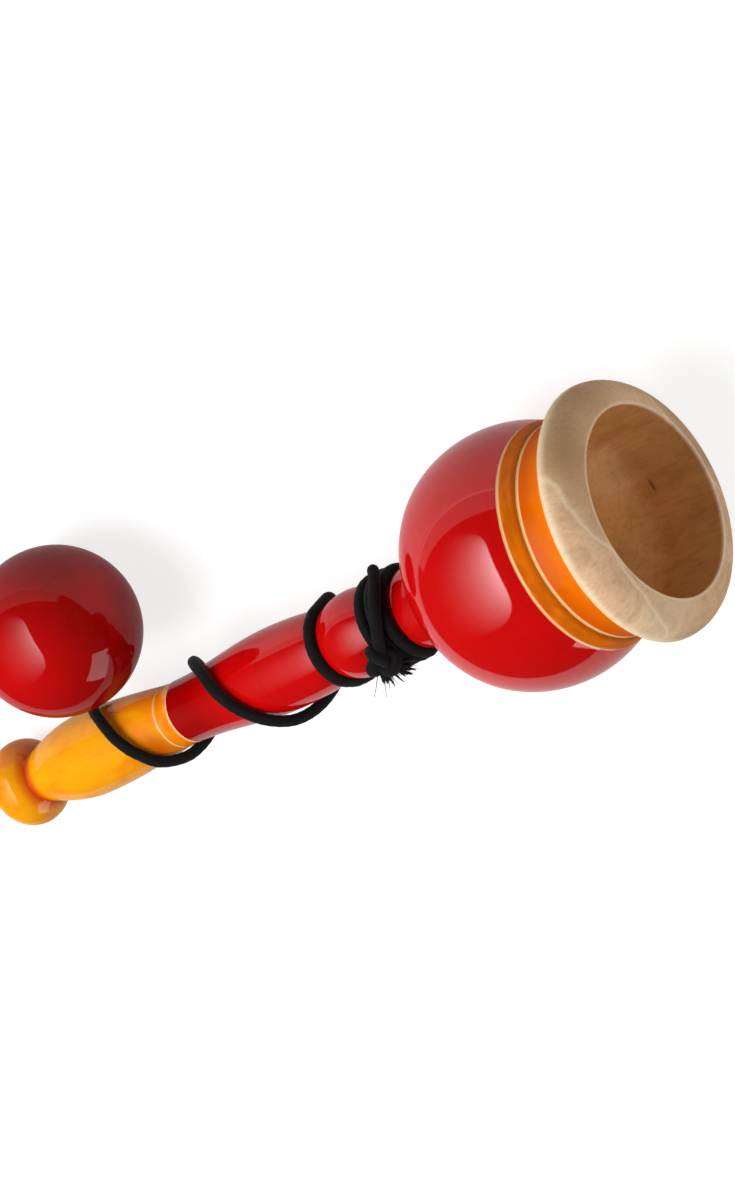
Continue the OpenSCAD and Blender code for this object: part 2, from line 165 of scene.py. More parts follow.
# The cord: its radius, its distance from the wood, the least share of its radius at a closed end,
# its sides, the length of one ring of them, and its plaits
CORD_R, CORD_GAP, DOME_LEAST = 1.5, 0.15, 0.12
CORD_SIDES, CORD_STEP, PLAITS = 20, 0.3, 4
WRAP_FIRST_TURN, WRAP_TURNS, WRAP_PITCH = -60, 2.5, 3.45
WRAP_R = NECK_R + CORD_GAP + CORD_R
WRAP_TOP_R = WRAP_R + CORD_R
# Its routes, as in the part's source: [turn, past the cord groove, slack] round the handle
WINDING = [
    (168, 14.5, 1), (190, 11, 0.6), (210, 7.6, 0.4), (228, 4.4, 0.4), (246, 2, 0.5),
    (264, 0.6, 1.5), (284, 0, 0.5), (300, 0, 0), (330, 0, 0), (360, 0, 0), (390, 0, 0),
    (420, 0, 0), (445, 0, 0), (460, 0, 0), (480, -0.2, 0.8), (497, -1, 2), (515, -3.2, 0.6),
    (540, -6.5, 0.7), (570, -10, 0.9), (600, -14, 0.8), (630, -18, 0.5), (660, -21.5, 0.4),
    (690, -24.7, 0.2), (720, -28.9, 0.1), (750, -33.1, 0.1), (780, -37.3, 0.1), (810, -43, 0.2),
    (840, -48, 0.4), (870, -52, 1), (900, -54.8, 1.6), (930, -56.8, 1.3), (960, -58.5, 0.8),
    (990, -60.2, 0.3), (1020, -62.5, 0.2), (1050, -66.5, 0.1), (1080, -69, 0.1),
]
# [along, side, up] beside the handle
TETHER = [
    (57, 3, 11.3), (55.2, 5.9, 10.4), (53.4, 8.4, 8.8), (51.3, 10.5, 6.6), (48.8, 12, 3.9),
    (46.2, 12.8, 0.4), (44, 13.3, -3.8), (41.4, 14.4, -7.8), (38, 16.6, -11), (34, 19.5, -12.7),
    (29.3, 23, -12.5), (25.6, 27.2, -12), (24.2, 31.8, -11.9), (26, 35.6, -11.6),
]
# The straight lead to the ball's hole, and the points from mark to mark of a route and in one tied turn
HOLE_LEAD, ROUTE_STEPS, WRAP_STEPS = 8, 10, 72
# The way along which the tether would unwind as the ball swings over, and where that would start and
# end on it; the cord step only works out these two ends
UNWIND, UNWIND_SPAN = Vector((0.610, 0.648, -0.456)), (-33.5, 3.0)
# [turn, past the neck's lower end, above the wrap]
STRAND = [
    (87, 8.6, 2.8), (80, 9.6, 2.1), (66, 10.3, 1.7), (48, 10.2, 1.7), (32, 9.2, 1.7),
    (16, 7.7, 1.7), (2, 5.9, 1.7), (-6, 4.8, 1.7),
]
TAILS = [
    [(-12, 3.8, 1.7), (-20, 2.8, 1.8), (-27, 2, 2.1), (-33, 1.3, 2.4)],
    [(-12, 4.4, 1.7), (-20, 5, 1.8), (-28, 5.9, 2), (-35, 6.5, 2.2)],
]
# Loose fibres between the tails
BRUSH = [(-14, 3.8, 1.6), (-22, 3.9, 1.9), (-30, 4.1, 2.2)]
# The knot: its place on the tied turns and its scale, then its cord's thickness, points and depth
KNOT_TURN, KNOT_ALONG, KNOT_UP, KNOT_SCALE = -12, 3.6, 2.0, 1.25
KNOT_D, KNOT_STEPS, KNOT_DEPTH = 2.9, 180, 1.05
# Frayed ends: a fibre's thickness, then thickness in fibres and length of the tufts and of the fibres,
# how far out they lie, the share of it at their root, how far back that is, the tail's points that
# give their way, how they droop, sway and spread, and how they thin out
FIBRE_D = 0.2
TUFT_THICK, TUFT_L = (3.2, 5.2), (2.8, 4.4)
FIBRE_THICK, FIBRE_L = (0.7, 1.1), (3.0, 5.0)
FRAY_R, FRAY_WAIST, FRAY_ROOT, FRAY_POINTS = 1.2, 0.8, 3.0, 6
FIBRE_DROOP, FIBRE_SWAY, FIBRE_SPREAD = (-0.5, 0.2), (-0.35, 0.35), (0.2, 0.6)
FIBRE_SHARES, FIBRE_TAPER = (0, 0.2, 0.4, 0.6, 0.8, 1), 0.7
# Two long fibres that stand out from the knot: where each starts, and how it leans
WHISKERS = [((-16, 1.2, 1.6), (0.1, 0.1, -0.12)), ((-20, 2.4, 1.6), (0.1, 0.05, 0.1))]
WHISKER_WAY = Vector((-0.61, -0.73, -0.31))
WHISKER_L, WHISKER_THICK, WHISKER_TAPER = 8.5, 1.3, 0.6
SEED = 7

# The photograph's camera, in metres and in the photograph's own pixels
PHOTO_SIZE = (735, 1200)
CAMERA_AT = (0.4548, 0.21562, 0.60207)
CAMERA_RIGHT = (0.7310, -0.6116, -0.3028)
CAMERA_UP = (0.3747, 0.7305, -0.5709)
FOCAL_PIXELS = 3128.682
AXIS_PIXEL = (375.885, 626.35)
SENSOR, CLIP = 36.0, (0.01, 50)

# The floor, just under the toy: its white is full only away from the toy
FLOOR_R, FLOOR_DROP, FLOOR_SIDES = 20, 0.0002, 64
WHITE_FROM, WHITE_TO = 0.35, 0.8
# A lamp that faces more steeply than this is squared with Y, and any other with Z
STEEP = 0.5
# Panels that only the gloss shows: name, brightness, place, facing and size
PANELS = [
    ("key_panel", "key_glow", (-0.532, 0.49, 0.538), (0.489, 0.0, -0.872), (1.40, 1.46)),
    ("far_board", "board_glow", (-0.60, 0.95, 0.17), (0.0, -1.0, -0.1), (3.2, 0.32)),
    ("low_window", "window_glow", (0.30, -0.73, 0.21), (-0.4, 0.88, -0.2), (0.55, 0.36)),
]
# How the key panel's glow is skewed and fades, and how square and soft its edge is
KEY_SKEW, KEY_FADE, KEY_SQUARE, KEY_EDGE = 0.7, 5.0, 4.0, 0.94
# Soft lights that the gloss doesn't show: name, brightness, place and size
FILLS = [
    ("soft_key", "soft_glow", (-0.43, 0.24, 0.82), (0.7, 0.7)),
    ("side_fill", "side_glow", (-0.75, 0.10, 0.35), (0.7, 1.0)),
    ("near_fill", "near_glow", (0.75, 0.20, 0.50), (0.7, 0.7)),
    ("mouth_fill", "mouth_glow", (0.67, -0.57, 0.38), (0.7, 0.7)),
]


# Small tools for node trees


def add(tree, kind, feeds=None, **settings):
    """Adds a node, sets its settings, and links or sets its inputs."""
    node = tree.nodes.new(kind)
    for name, value in settings.items():
        setattr(node, name, value)
    for key, value in (feeds or {}).items():
        if isinstance(value, bpy.types.NodeSocket):
            tree.links.new(value, node.inputs[key])
        else:
            node.inputs[key].default_value = value
    return node


def put(kind, feeds, output=0, **settings):
    """Adds a node to the tree of the sockets that feed it, and gives one of its outputs."""
    sockets = (value for value in feeds.values() if isinstance(value, bpy.types.NodeSocket))
    return add(next(sockets).id_data, kind, feeds, **settings).outputs[output]


def close_tree(kind, socket):
    """Ends a tree in its output node."""
    add(socket.id_data, kind, {0: socket})


def calc(operation, a, b=0.0, c=0.0):
    """One sum on numbers."""
    return put("ShaderNodeMath", {0: a, 1: b, 2: c}, operation=operation)


def plus(a, b):
    """a and b together."""
    return calc("ADD", a, b)


def minus(a, b):
    """a less b."""
    return calc("SUBTRACT", a, b)


def times(a, b):
    """a times b."""
    return calc("MULTIPLY", a, b)


def uneven(value, pattern, amount):
    """A value that a pattern from 0 to 1 moves up and down."""
    return plus(value, times(minus(pattern, 0.5), amount))


def vector_calc(operation, a, b):
    """One sum on vectors."""
    key = "Scale" if operation == "SCALE" else 1
    return put("ShaderNodeVectorMath", {0: a, key: b}, operation=operation)


def xyz(vector):
    """A vector's three numbers."""
    return put("ShaderNodeSeparateXYZ", {0: vector}).node.outputs


def length(vector):
    """A vector's length."""
    return put("ShaderNodeVectorMath", {0: vector}, "Value", operation="LENGTH")


def distance(place, other):
    """How far one place is from another."""
    return length(vector_calc("SUBTRACT", place, other))


def step(value, low, high, to_low=0.0, to_high=1.0):
    """A smooth step from to_low to to_high as value goes from low to high."""
    feeds = {"Value": value, 1: low, 2: high, 3: to_low, 4: to_high}
    return put("ShaderNodeMapRange", feeds, interpolation_type="SMOOTHSTEP")


def paint(amount, under, over, way="MIX"):
    """Lays one colour over another."""
    feeds = {0: amount}
    for key, colour in ((6, under), (7, over)):
        feeds[key] = colour if isinstance(colour, bpy.types.NodeSocket) else (*colour[:3], 1)
    return put("ShaderNodeMix", feeds, 2, data_type="RGBA", blend_type=way)


def noise(vector, scale, detail, roughness, distortion=0.0):
    """A soft random pattern from 0 to 1."""
    return put("ShaderNodeTexNoise", {
        "Vector": vector, "Scale": scale, "Detail": detail,
        "Roughness": roughness, "Distortion": distortion,
    })


def grain(vector, scale, detail, roughness, distortion=0.0):
    """A soft random pattern, scaled differently along each axis."""
    place = put("ShaderNodeMapping", {"Vector": vector, "Scale": scale})
    return noise(place, 1.0, detail, roughness, distortion)


def bumps(height, depth, strength):
    """A bump map of heights, in metres."""
    return put("ShaderNodeBump", {"Height": height, "Distance": depth, "Strength": strength})


def finish_tree(name):
    """A new material's empty tree."""
    material = bpy.data.materials.new(name)
    material.use_nodes = True
    material.node_tree.nodes.clear()
    return material, material.node_tree


def close_finish(feeds):
    """Ends a material in its shader."""
    close_tree("ShaderNodeOutputMaterial", put("ShaderNodeBsdfPrincipled", feeds))


def turning_place(tree, pose):
    """The place on a turned piece in millimetres, with Z along its axis, and its station there."""
    place, turn, _ = pose.decompose()
    feeds = {
        "Vector": add(tree, "ShaderNodeTexCoord").outputs["Object"],
        "Location": place * MM,
        "Rotation": turn.to_euler(),
    }
    local = put("ShaderNodeMapping", feeds, vector_type="TEXTURE")
    local = vector_calc("SCALE", local, 1 / MM)
    return local, xyz(local)[2]


# Finishes


def lacquer_coat(colour, local, toy, gloss):
    """Closes a lacquer: fine turning lines and a little orange peel under a clear gloss."""
    rings = grain(local, (0.05, 0.05, 9.0), 3.0, 0.6)
    peel = noise(local, 0.55, 2.0, 0.5)
    worn = noise(local, 0.16, 4.0, 0.65)
    specks = noise(local, 3.2, 1.0, 0.5)
    height = plus(times(rings, 0.35), peel)
    dark = step(specks, 0.70, 0.82, 0.0, 0.22)
    colour = paint(dark, colour, toy.speck, "MULTIPLY")
    close_finish({
        "Base Color": colour,
        "Roughness": step(worn, 0.35, 0.75, 0.24, 0.42),
        "Normal": bumps(height, 0.00003, 0.2),
        "Specular IOR Level": 0.0,
        "Coat Weight": gloss,
        "Coat Roughness": toy.gloss_roughness,
        "Coat IOR": GLOSS_IOR,
    })


def streaked(local, colour, dark, pale):
    """Lacquer laid on in the lathe: faint rings and soft clouds of a darker and a paler tone."""
    rings = grain(local, (0.03, 0.03, 0.9), 4.0, 0.6, 0.4)
    clouds = noise(local, 0.045, 4.0, 0.6, 0.3)
    colour = paint(step(rings, 0.48, 0.78, 0.0, 0.5), colour, dark)
    return paint(step(clouds, 0.50, 0.75, 0.0, 0.6), colour, pale)


def wavy(local, station):
    """The station, with the slight waver of a hand-held edge."""
    return uneven(station, noise(local, 0.35, 2.0, 0.5), EDGE_WAVER)


def zones(station, first, edges):
    """Colours that follow each other along the axis.

    Each edge is its station, its softness and the next colour.
    """
    colour = first
    for at, soft, following in edges:
        colour = paint(step(station, at - soft, at + soft), colour, following)
    return colour


def red_lacquer(tree, toy):
    """Place, wavering station and red lacquer on the cup and the handle."""
    local, station = turning_place(tree, LYING)
    return local, wavy(local, station), streaked(local, toy.red, toy.red_dark, toy.red_pale)


def cup_lacquer(tree, toy):
    """Red body and two orange bands, with pale wood showing in the cut lines, and painted shade at the
    first band's edge and in the second band's cove.
    """
    local, station, red = red_lacquer(tree, toy)
    amber = grain(local, (0.14, 0.14, 0.5), 4.0, 0.6)
    half = RING_W / 2
    brown = paint(step(amber, 0.36, 0.64), toy.band_brown, toy.band_shade)
    # Painted shade: the first band darkens towards the second band's cut line
    edge_shade = step(station, BAND_END_AT - BAND_SHADE_REACH, BAND_END_AT - half, 0.0, 0.6)
    brown = paint(edge_shade, brown, toy.band_edge_shade)
    orange = paint(step(amber, 0.42, 0.72, 0.0, 0.8), toy.band_orange, toy.band_glow)
    # Painted shade in the second band's cove, next to its cut line
    deep = step(station, BAND_END_AT + half, BAND_END_AT + BAND_COVE_SHADE_REACH, 0.9, 0.0)
    orange = paint(deep, orange, toy.band_cove_shade)
    colour = zones(station, red, [
        (BAND_AT - half * 0.9, 0.1, toy.cut_line_and_highlight), (BAND_AT + half * 1.2, 0.2, brown),
        (BAND_END_AT - half * 0.9, 0.1, toy.cut_line_and_highlight), (BAND_END_AT + half * 1.2, 0.2, orange),
        (RIM_AT - RIM_BACK_R - 0.35, 0.18, toy.cut_line_and_highlight),
    ])
    gloss = step(station, BAND_AT - half, BAND_AT + half, RED_GLOSS, BAND_GLOSS)
    lacquer_coat(colour, local, toy, gloss)


def handle_lacquer(tree, toy):
    """Red upper part, yellow grip and pommel, orange tail groove, pale lines in the ring cuts, painted
    shade on the red just above the ring cuts, and a darker patch on the grip's top.
    """
    local, station, red = red_lacquer(tree, toy)
    mottle = grain(local, (0.11, 0.11, 0.06), 5.0, 0.62, 0.5)
    fine = grain(local, (0.5, 0.5, 0.08), 3.0, 0.6)
    near_ring = step(station, GRIP_AT + 14, LOW_RING_AT - 4, 0.0, 0.16)
    on_pommel = step(station, TAIL_GROOVE_AT - 8, TAIL_GROOVE_AT + 4, 0.1, 0.0)
    cloudy = plus(plus(mottle, near_ring), on_pommel)
    yellow = paint(step(cloudy, 0.48, 0.74, 0.0, 0.9), toy.grip_yellow, toy.grip_orange)
    yellow = paint(step(fine, 0.5, 0.8, 0.0, 0.35), yellow, toy.grip_shade)
    # A darker patch on the grip's top, between the cord and the low ring
    from_dark_patch = uneven(distance(local, GRIP_DARK_PATCH), mottle, 6.0)
    yellow = paint(step(from_dark_patch, 1.0, GRIP_DARK_PATCH_R, 0.8, 0.0), yellow, toy.grip_dark_patch)
    # Painted shade on the red just above the ring cuts
    deep = step(station, RED_SHADE_FROM, RED_SHADE_TO, 0.9, 0.0)
    red = paint(deep, red, toy.red_painted_shade)
    half = RING_W / 2
    colour = zones(station, yellow, [
        (GROOVE_TINT[0], 1.1, toy.groove_orange), (GROOVE_TINT[1], 2.4, yellow),
        (LOW_RING_AT - half * 0.8, 0.12, toy.cut_line_and_highlight), (LOW_RING_AT + half * 0.9, 0.2, yellow),
        (HIGH_RING_AT - half * 0.9, 0.12, toy.cut_line_and_highlight), (HIGH_RING_AT + half * 0.7, 0.1, red),
    ])
    gloss = step(station, HIGH_RING_AT - half, HIGH_RING_AT + half, GRIP_GLOSS, RED_GLOSS)
    lacquer_coat(colour, local, toy, gloss)


def ball_lacquer(tree, toy):
    """Deep red, with faint clouds, turning rings and painted light that makes its lit top paler."""
    local, _ = turning_place(tree, BALL_HOLE)
    colour = streaked(local, toy.ball_red, toy.ball_dark, toy.ball_pale)
    # Painted light: the ball's lit top is painted paler
    from_lit_top = distance(local, BALL_LIT_TOP)
    colour = paint(step(from_lit_top, 0.0, 1.5 * BALL_R, 0.9, 0.0), colour, toy.ball_pale)
    lacquer_coat(colour, local, toy, BALL_GLOSS)


def sanded_wood(tree, toy):
    """Sanded wood with its grain along the axis.

    It has growth rings, fine fibres, pores, pale edges, a small dark knot, and painted light and shade:
    darker and paler patches on the rim's shaded and lit sides, a paler lit wall in the hollow and a
    highlight along the rim's back edge.
    """
    local, station = turning_place(tree, LYING)
    under, side, _ = xyz(local)
    drift = grain(local, (0.06, 0.06, 0.02), 3.0, 0.55)
    bowed = times(times(side, side), RING_BOW)
    depth = plus(minus(bowed, under), times(drift, RING_DRIFT))
    rings = calc("DIVIDE", plus(depth, RING_SHIFT), GROWTH_RING)
    ring = calc("FRACT", rings)
    fibres = grain(local, (1.0, 1.0, 0.10), 5.0, 0.7)
    patches = grain(local, (0.13, 0.13, 0.06), 5.0, 0.62, 0.4)
    pores = grain(local, (2.6, 2.6, 0.35), 1.0, 0.5)
    late = times(step(ring, 0.2, 0.9, 0.0, 0.6), step(ring, 0.9, 1.0, 1.0, 0.0))
    colour = paint(late, toy.wood_pale, toy.wood_grey)
    colour = paint(step(patches, 0.42, 0.72, 0.0, 0.5), colour, toy.wood_brown)
    colour = paint(step(fibres, 0.46, 0.70, 0.0, 0.34), colour, toy.wood_brown)
    # Painted light and shade: brown patches on the rim's shaded side, pale ones on its lit side and on
    # the hollow's lit floor
    for place, reach, shade, strength in LIGHT_AND_SHADE_PATCHES:
        away = uneven(distance(local, place), patches, reach)
        colour = paint(step(away, 0.0, reach, strength, 0.0), colour, getattr(toy, shade))
    radius = length(vector_calc("MULTIPLY", local, (1, 1, 0)))
    deep = step(station, MOUTH_AT - 0.9, MOUTH_AT - 0.4, 1.0, 0.0)
    inside = times(deep, step(radius, BORE_R + 0.1, BORE_R + 0.4, 1.0, 0.0))
    line = times(step(ring, 0.952, 0.97), step(ring, 0.97, 0.985, 1.0, 0.0))
    line = times(line, calc("MULTIPLY_ADD", inside, -0.4, 0.5))
    colour = paint(line, colour, toy.wood_lines_and_highlights)
    colour = paint(step(pores, 0.64, 0.76, 0.0, 0.24), colour, toy.wood_dark)
    # Painted light: the part of the hollow's wall that faces the light is browned less, so it looks
    # paler
    from_lit_wall = distance(local, HOLLOW_LIT_WALL)
    browned = times(inside, step(from_lit_wall, 0.0, HOLLOW_LIT_WALL_R, 0.62, 0.95))
    colour = paint(browned, colour, toy.hollow_tint, "MULTIPLY")
    # A paler line painted along the mouth's edge
    mouth = times(step(radius, BORE_R - 0.3, BORE_R),
                  step(radius, BORE_R + 0.4, BORE_R + 1.0, 1.0, 0.0))
    mouth = times(mouth, step(station, MOUTH_AT - 0.8, MOUTH_AT - 0.3))
    # Painted highlight along the rim's back edge, where its corner catches the light
    outer = step(radius, BORE_R + RIM_HIGHLIGHT_OUT, BORE_R + RIM_HIGHLIGHT_OUT + 1)
    back = times(outer, step(station, RIM_AT, RIM_AT + 2.4, 1.0, 0.0))
    edges = calc("MAXIMUM", times(mouth, 0.45), back)
    # The mouth's pale edge and the rim's painted highlight, broken up by the fibres
    worn = times(edges, step(fibres, 0.3, 0.7, 0.95, 0.7))
    colour = paint(worn, colour, toy.wood_lines_and_highlights)
    # A yellowish painted highlight right on the rim's back edge
    back_edge_highlight = times(outer, step(station, RIM_AT - 0.3, RIM_AT + 0.3, 0.8, 0.0))
    colour = paint(back_edge_highlight, colour, toy.cut_line_and_highlight)
    from_knot = put("ShaderNodeMapping", {
        "Vector": vector_calc("SUBTRACT", local, WOOD_KNOT),
        "Rotation": (WOOD_KNOT_TURN, 0, 0), "Scale": WOOD_KNOT_SHAPE,
    })
    ragged = uneven(length(from_knot), fibres, 0.8)
    colour = paint(step(ragged, 0.5, 1.3, 0.8, 0.0), colour, toy.wood_dark)
    height = minus(fibres, times(step(pores, 0.62, 0.74), 0.8))
    close_finish({
        "Base Color": colour,
        "Roughness": step(fibres, 0.3, 0.7, 0.62, 0.78),
        "Normal": bumps(height, 0.0001, 0.5),
        "Specular IOR Level": 0.12,
    })


def cord_black(tree, toy):
    """Matt black braid: the plaits' shine and fibres follow the cord."""
    along = add(tree, "ShaderNodeAttribute", attribute_name="along").outputs["Fac"]
    turn = add(tree, "ShaderNodeAttribute", attribute_name="turn").outputs["Vector"]
    place = put("ShaderNodeCombineXYZ", {2: times(along, 120.0)})
    place = vector_calc("ADD", place, vector_calc("SCALE", turn, 5.0))
    fibres = noise(place, 1.6, 3.0, 0.7)
    dust = noise(add(tree, "ShaderNodeTexCoord").outputs["Object"], 700.0, 2.0, 0.5)
    colour = paint(step(fibres, 0.45, 0.75), toy.cord_black, toy.cord_shine)
    colour = paint(step(dust, 0.62, 0.8, 0.0, 0.3), colour, toy.cord_dust)
    close_finish({
        "Base Color": colour,
        "Roughness": step(fibres, 0.3, 0.7, 0.72, 0.92),
        "Normal": bumps(fibres, 0.00006, 0.7),
        "Specular IOR Level": 0.1,
        "Sheen Weight": 0.04,
        "Sheen Roughness": 0.5,
    })


def kept_finish(make, toy):
    """A finish that several pieces share, made once under its own name."""
    material = bpy.data.materials.get(make.__name__)
    if not material:
        material, tree = finish_tree(make.__name__)
        make(tree, toy)
    return material


# Outlines of the turnings: each stretch goes on from the point before it, which it leaves out


def mix(a, b, share):
    """Part of the way from a to b."""
    return a + (b - a) * share


def sweep(steps, point):
    """Points of one stretch, from a rule on a share from 0 to 1."""
    return [point(i / steps) for i in range(1, steps + 1)]


def arc(mid, r, start, end, steps):
    """An arc between two angles, in degrees."""
    def point(u):
        angle = radians(mix(start, end, u))
        return (mid[0] + r * cos(angle), mid[1] + r * sin(angle))
    return sweep(steps, point)


def between(start, end, steps, rule):
    """A stretch whose radius follows a rule and whose station goes evenly."""
    return sweep(steps, lambda u: (mix(start[0], end[0], rule(u)), mix(start[1], end[1], u)))


def falling(start, end, steps):
    """Leaves level with the axis and falls away."""
    return between(start, end, steps, lambda u: 1 - cos(pi / 2 * u))


def rising(start, end, steps):
    """Rises steeply and comes level with the axis."""
    return between(start, end, steps, lambda u: sin(pi / 2 * u))


def rolled(start, end, roll, power, steps):
    """Leaves level with the axis, falls away, and rolls over a lip by a given depth."""
    fall = start[0] - end[0] - roll
    def point(u):
        sunk = fall * (1 - cos(pi / 2 * u)) + roll * u**power
        return (start[0] - sunk, mix(start[1], end[1], u))
    return sweep(steps, point)


def wave(start, end, steps):
    """Level with the axis at both ends."""
    return between(start, end, steps, lambda u: (1 - cos(pi * u)) / 2)


def round_over(start, end, steps):
    """A quarter of an ellipse, level with the axis at its start."""
    def point(u):
        angle = pi / 2 * u
        return (mix(end[0], start[0], cos(angle)), mix(start[1], end[1], sin(angle)))
    return sweep(steps, point)


def cove(start, end, depth, steps):
    """A shallow hollow."""
    def point(u):
        hollow = depth * sin(pi * u)
        return (mix(start[0], end[0], u) - hollow, mix(start[1], end[1], u))
    return sweep(steps, point)


def fine_ring(r, at):
    """A fine V cut, from its near edge."""
    return [(r - RING_DEPTH, at), (r, at + RING_W / 2)]


def softened(outline):
    """The outline with its sharp corners worn round, apart from those at the glued joint."""
    points = [Vector(p) for p in outline]
    made = [points[0]]
    for before, corner, after in zip(points, points[1:], points[2:]):
        a, b = before - corner, after - corner
        turn = 180 - degrees(a.angle(b)) if a.length > 0 and b.length > 0 else 0
        if turn < LEAST_CORNER or corner.x <= 0 or corner.y == BASE_AT:
            made.append(corner)
            continue
        start = corner + a.normalized() * min(CORNER_WEAR, a.length * CORNER_SHARE)
        end = corner + b.normalized() * min(CORNER_WEAR, b.length * CORNER_SHARE)
        for i in range(CORNER_STEPS + 1):
            u = i / CORNER_STEPS
            made.append(start * (1 - u) ** 2 + corner * (2 * u * (1 - u)) + end * u**2)
    made.append(points[-1])
    return [tuple(p) for p in made]


def handle_outline(roll=LIP_ROLL):
    """From the pommel to the tenon, with the lips of the cord's groove rolled over."""
    half = RING_W / 2
    lip = degrees(acos(roll / GROOVE_R))
    lip_r, lip_w = GROOVE_LIP_R - roll, GROOVE_R * sin(radians(lip))
    bead = rolled((BEAD_R, BEAD_AT), (lip_r, GROOVE_AT + lip_w), roll, BEAD_ROLL_POWER, 16)
    return [
        (0, 0), (POMMEL_MID_R, 0),
        *arc((POMMEL_MID_R, POMMEL_EDGE_R), POMMEL_EDGE_R, -90, 60, 28),
        (TAIL_GROOVE_R, TAIL_GROOVE_AT),
        *rising((TAIL_GROOVE_R, TAIL_GROOVE_AT), (GRIP_R, GRIP_AT), 28),
        *falling((GRIP_R, GRIP_AT), (WAIST_R, LOW_RING_AT - half), 28),
        *fine_ring(WAIST_R, LOW_RING_AT),
        *cove((WAIST_R, LOW_RING_AT + half), (WAIST_R, HIGH_RING_AT - half), RING_COVE, 10),
        *fine_ring(WAIST_R, HIGH_RING_AT),
        *wave((WAIST_R, HIGH_RING_AT + half), (SWELL_R, SWELL_AT), 36),
        *rolled((SWELL_R, SWELL_AT), (lip_r, GROOVE_AT - lip_w), roll, SWELL_ROLL_POWER, 28),
        *arc((GROOVE_LIP_R, GROOVE_AT), GROOVE_R, 180 + lip, 180 - lip, 18),
        *bead[-2::-1], (BEAD_R, BEAD_AT),
        *falling((BEAD_R, BEAD_AT), (NECK_R + BEAD_STEP, NECK_AT), 16),
        (NECK_R, NECK_AT), (NECK_R, COLLAR_AT),
        (COLLAR_NECK_R, COLLAR_AT), (COLLAR_R, BASE_AT),
        (TENON_R, BASE_AT), (TENON_R, BASE_AT + TENON_L), (0, BASE_AT + TENON_L),
    ]


def cup_outline():
    """From the socket in the base, over the outside and the rim, to the floor of the hollow."""
    half = RING_W / 2
    lean, inset = radians(SHOULDER_ANGLE), BELLY_R - SHOULDER_R
    shoulder = (inset * cos(lean), BELLY_AT - inset * sin(lean))
    foot = -degrees(asin((shoulder[1] - BASE_AT) / SHOULDER_R))
    band = degrees(asin((BAND_AT - half - BELLY_AT) / BELLY_R))
    rim_back = (RIM_R - RIM_BACK_R, RIM_AT)
    socket_r = TENON_R + GLUE_GAP
    socket_end = BASE_AT + TENON_L + SOCKET_END_GAP
    return [
        (0, socket_end), (socket_r, socket_end), (socket_r, BASE_AT), (COLLAR_R, BASE_AT),
        *arc(shoulder, SHOULDER_R, foot, -SHOULDER_ANGLE, 28),
        *arc((0, BELLY_AT), BELLY_R, -SHOULDER_ANGLE, band, 36),
        *fine_ring(BELLY_R * cos(radians(band)), BAND_AT),
        (BAND_START_R, BAND_AT + half), (BAND_END_R, BAND_END_AT - half),
        *fine_ring(BAND_END_R, BAND_END_AT),
        *cove((BAND_END_R, BAND_END_AT + half), (RIM_ROOT_R, RIM_AT - RIM_BACK_R), BAND_COVE, 14),
        (RIM_R - RIM_BACK_R, RIM_AT - RIM_BACK_R),
        *arc(rim_back, RIM_BACK_R, -90, 0, 6),
        *round_over((RIM_R, RIM_AT), (MOUTH_EDGE_R, MOUTH_AT), 28),
        (BORE_R, MOUTH_AT), (BORE_R, MOUTH_AT - BORE_DEPTH),
        *arc((BORE_R - FLOOR_CORNER_R, MOUTH_AT - BORE_DEPTH), FLOOR_CORNER_R, 0, -90, 18),
        (0, MOUTH_AT - BORE_DEPTH - FLOOR_CORNER_R),
    ]


def ball_outline():
    """From the far pole to the plug's seat and the knot's chamber behind it."""
    chamber_r = STOPPER_D / 2 + STOPPER_GAP
    seat = degrees(acos(PLUG_R / BALL_R))
    return [
        (0, -BALL_R), *arc((0, 0), BALL_R, -90, seat, 96),
        (PLUG_R, PLUG_FACE - PLUG_L), (chamber_r, PLUG_FACE - PLUG_L),
        (chamber_r, STOPPER_MID - chamber_r), (0, STOPPER_MID - chamber_r),
    ]


def plug_outline():
    """A bored bush that ends flush with the ball."""
    r = PLUG_R - PLUG_GAP
    start = degrees(acos(r / BALL_R))
    end = degrees(acos(PLUG_BORE_R / BALL_R))
    inner = PLUG_FACE - PLUG_L
    face = (r, BALL_R * sin(radians(start)))
    dome = arc((0, 0), BALL_R, start, end, 6)
    return [(PLUG_BORE_R, inner), (r, inner), face, *dome, (PLUG_BORE_R, inner)]


def radius_at(outline, at):
    """The outline's radius at a station."""
    for (r0, s0), (r1, s1) in zip(outline, outline[1:]):
        if s0 <= at <= s1 and s1 > s0:
            return r0 + (r1 - r0) * (at - s0) / (s1 - s0)
    raise ValueError(f"no outline at station {at}")


# Turning, by Geometry Nodes


def new_inputs(tree, sockets):
    """Names a tree's inputs and gives it one geometry output."""
    tree.interface.new_socket("Geometry", in_out="OUTPUT", socket_type="NodeSocketGeometry")
    for name, kind in sockets:
        tree.interface.new_socket(name, in_out="INPUT", socket_type="NodeSocket" + kind)
    return add(tree, "NodeGroupInput").outputs


def kept_tree(make):
    """A tree that several pieces share, made once under its own name."""
    tree = bpy.data.node_groups.get(make.__name__)
    if not tree:
        tree = bpy.data.node_groups.new(make.__name__, "GeometryNodeTree")
        make(tree)
    return tree


def faced(geometry, material):
    """Smooth, real faces with their finish."""
    smooth = put("GeometryNodeSetShadeSmooth", {"Geometry": geometry})
    real = put("GeometryNodeRealizeInstances", {0: smooth})
    return put("GeometryNodeSetMaterial", {"Geometry": real, "Material": material})


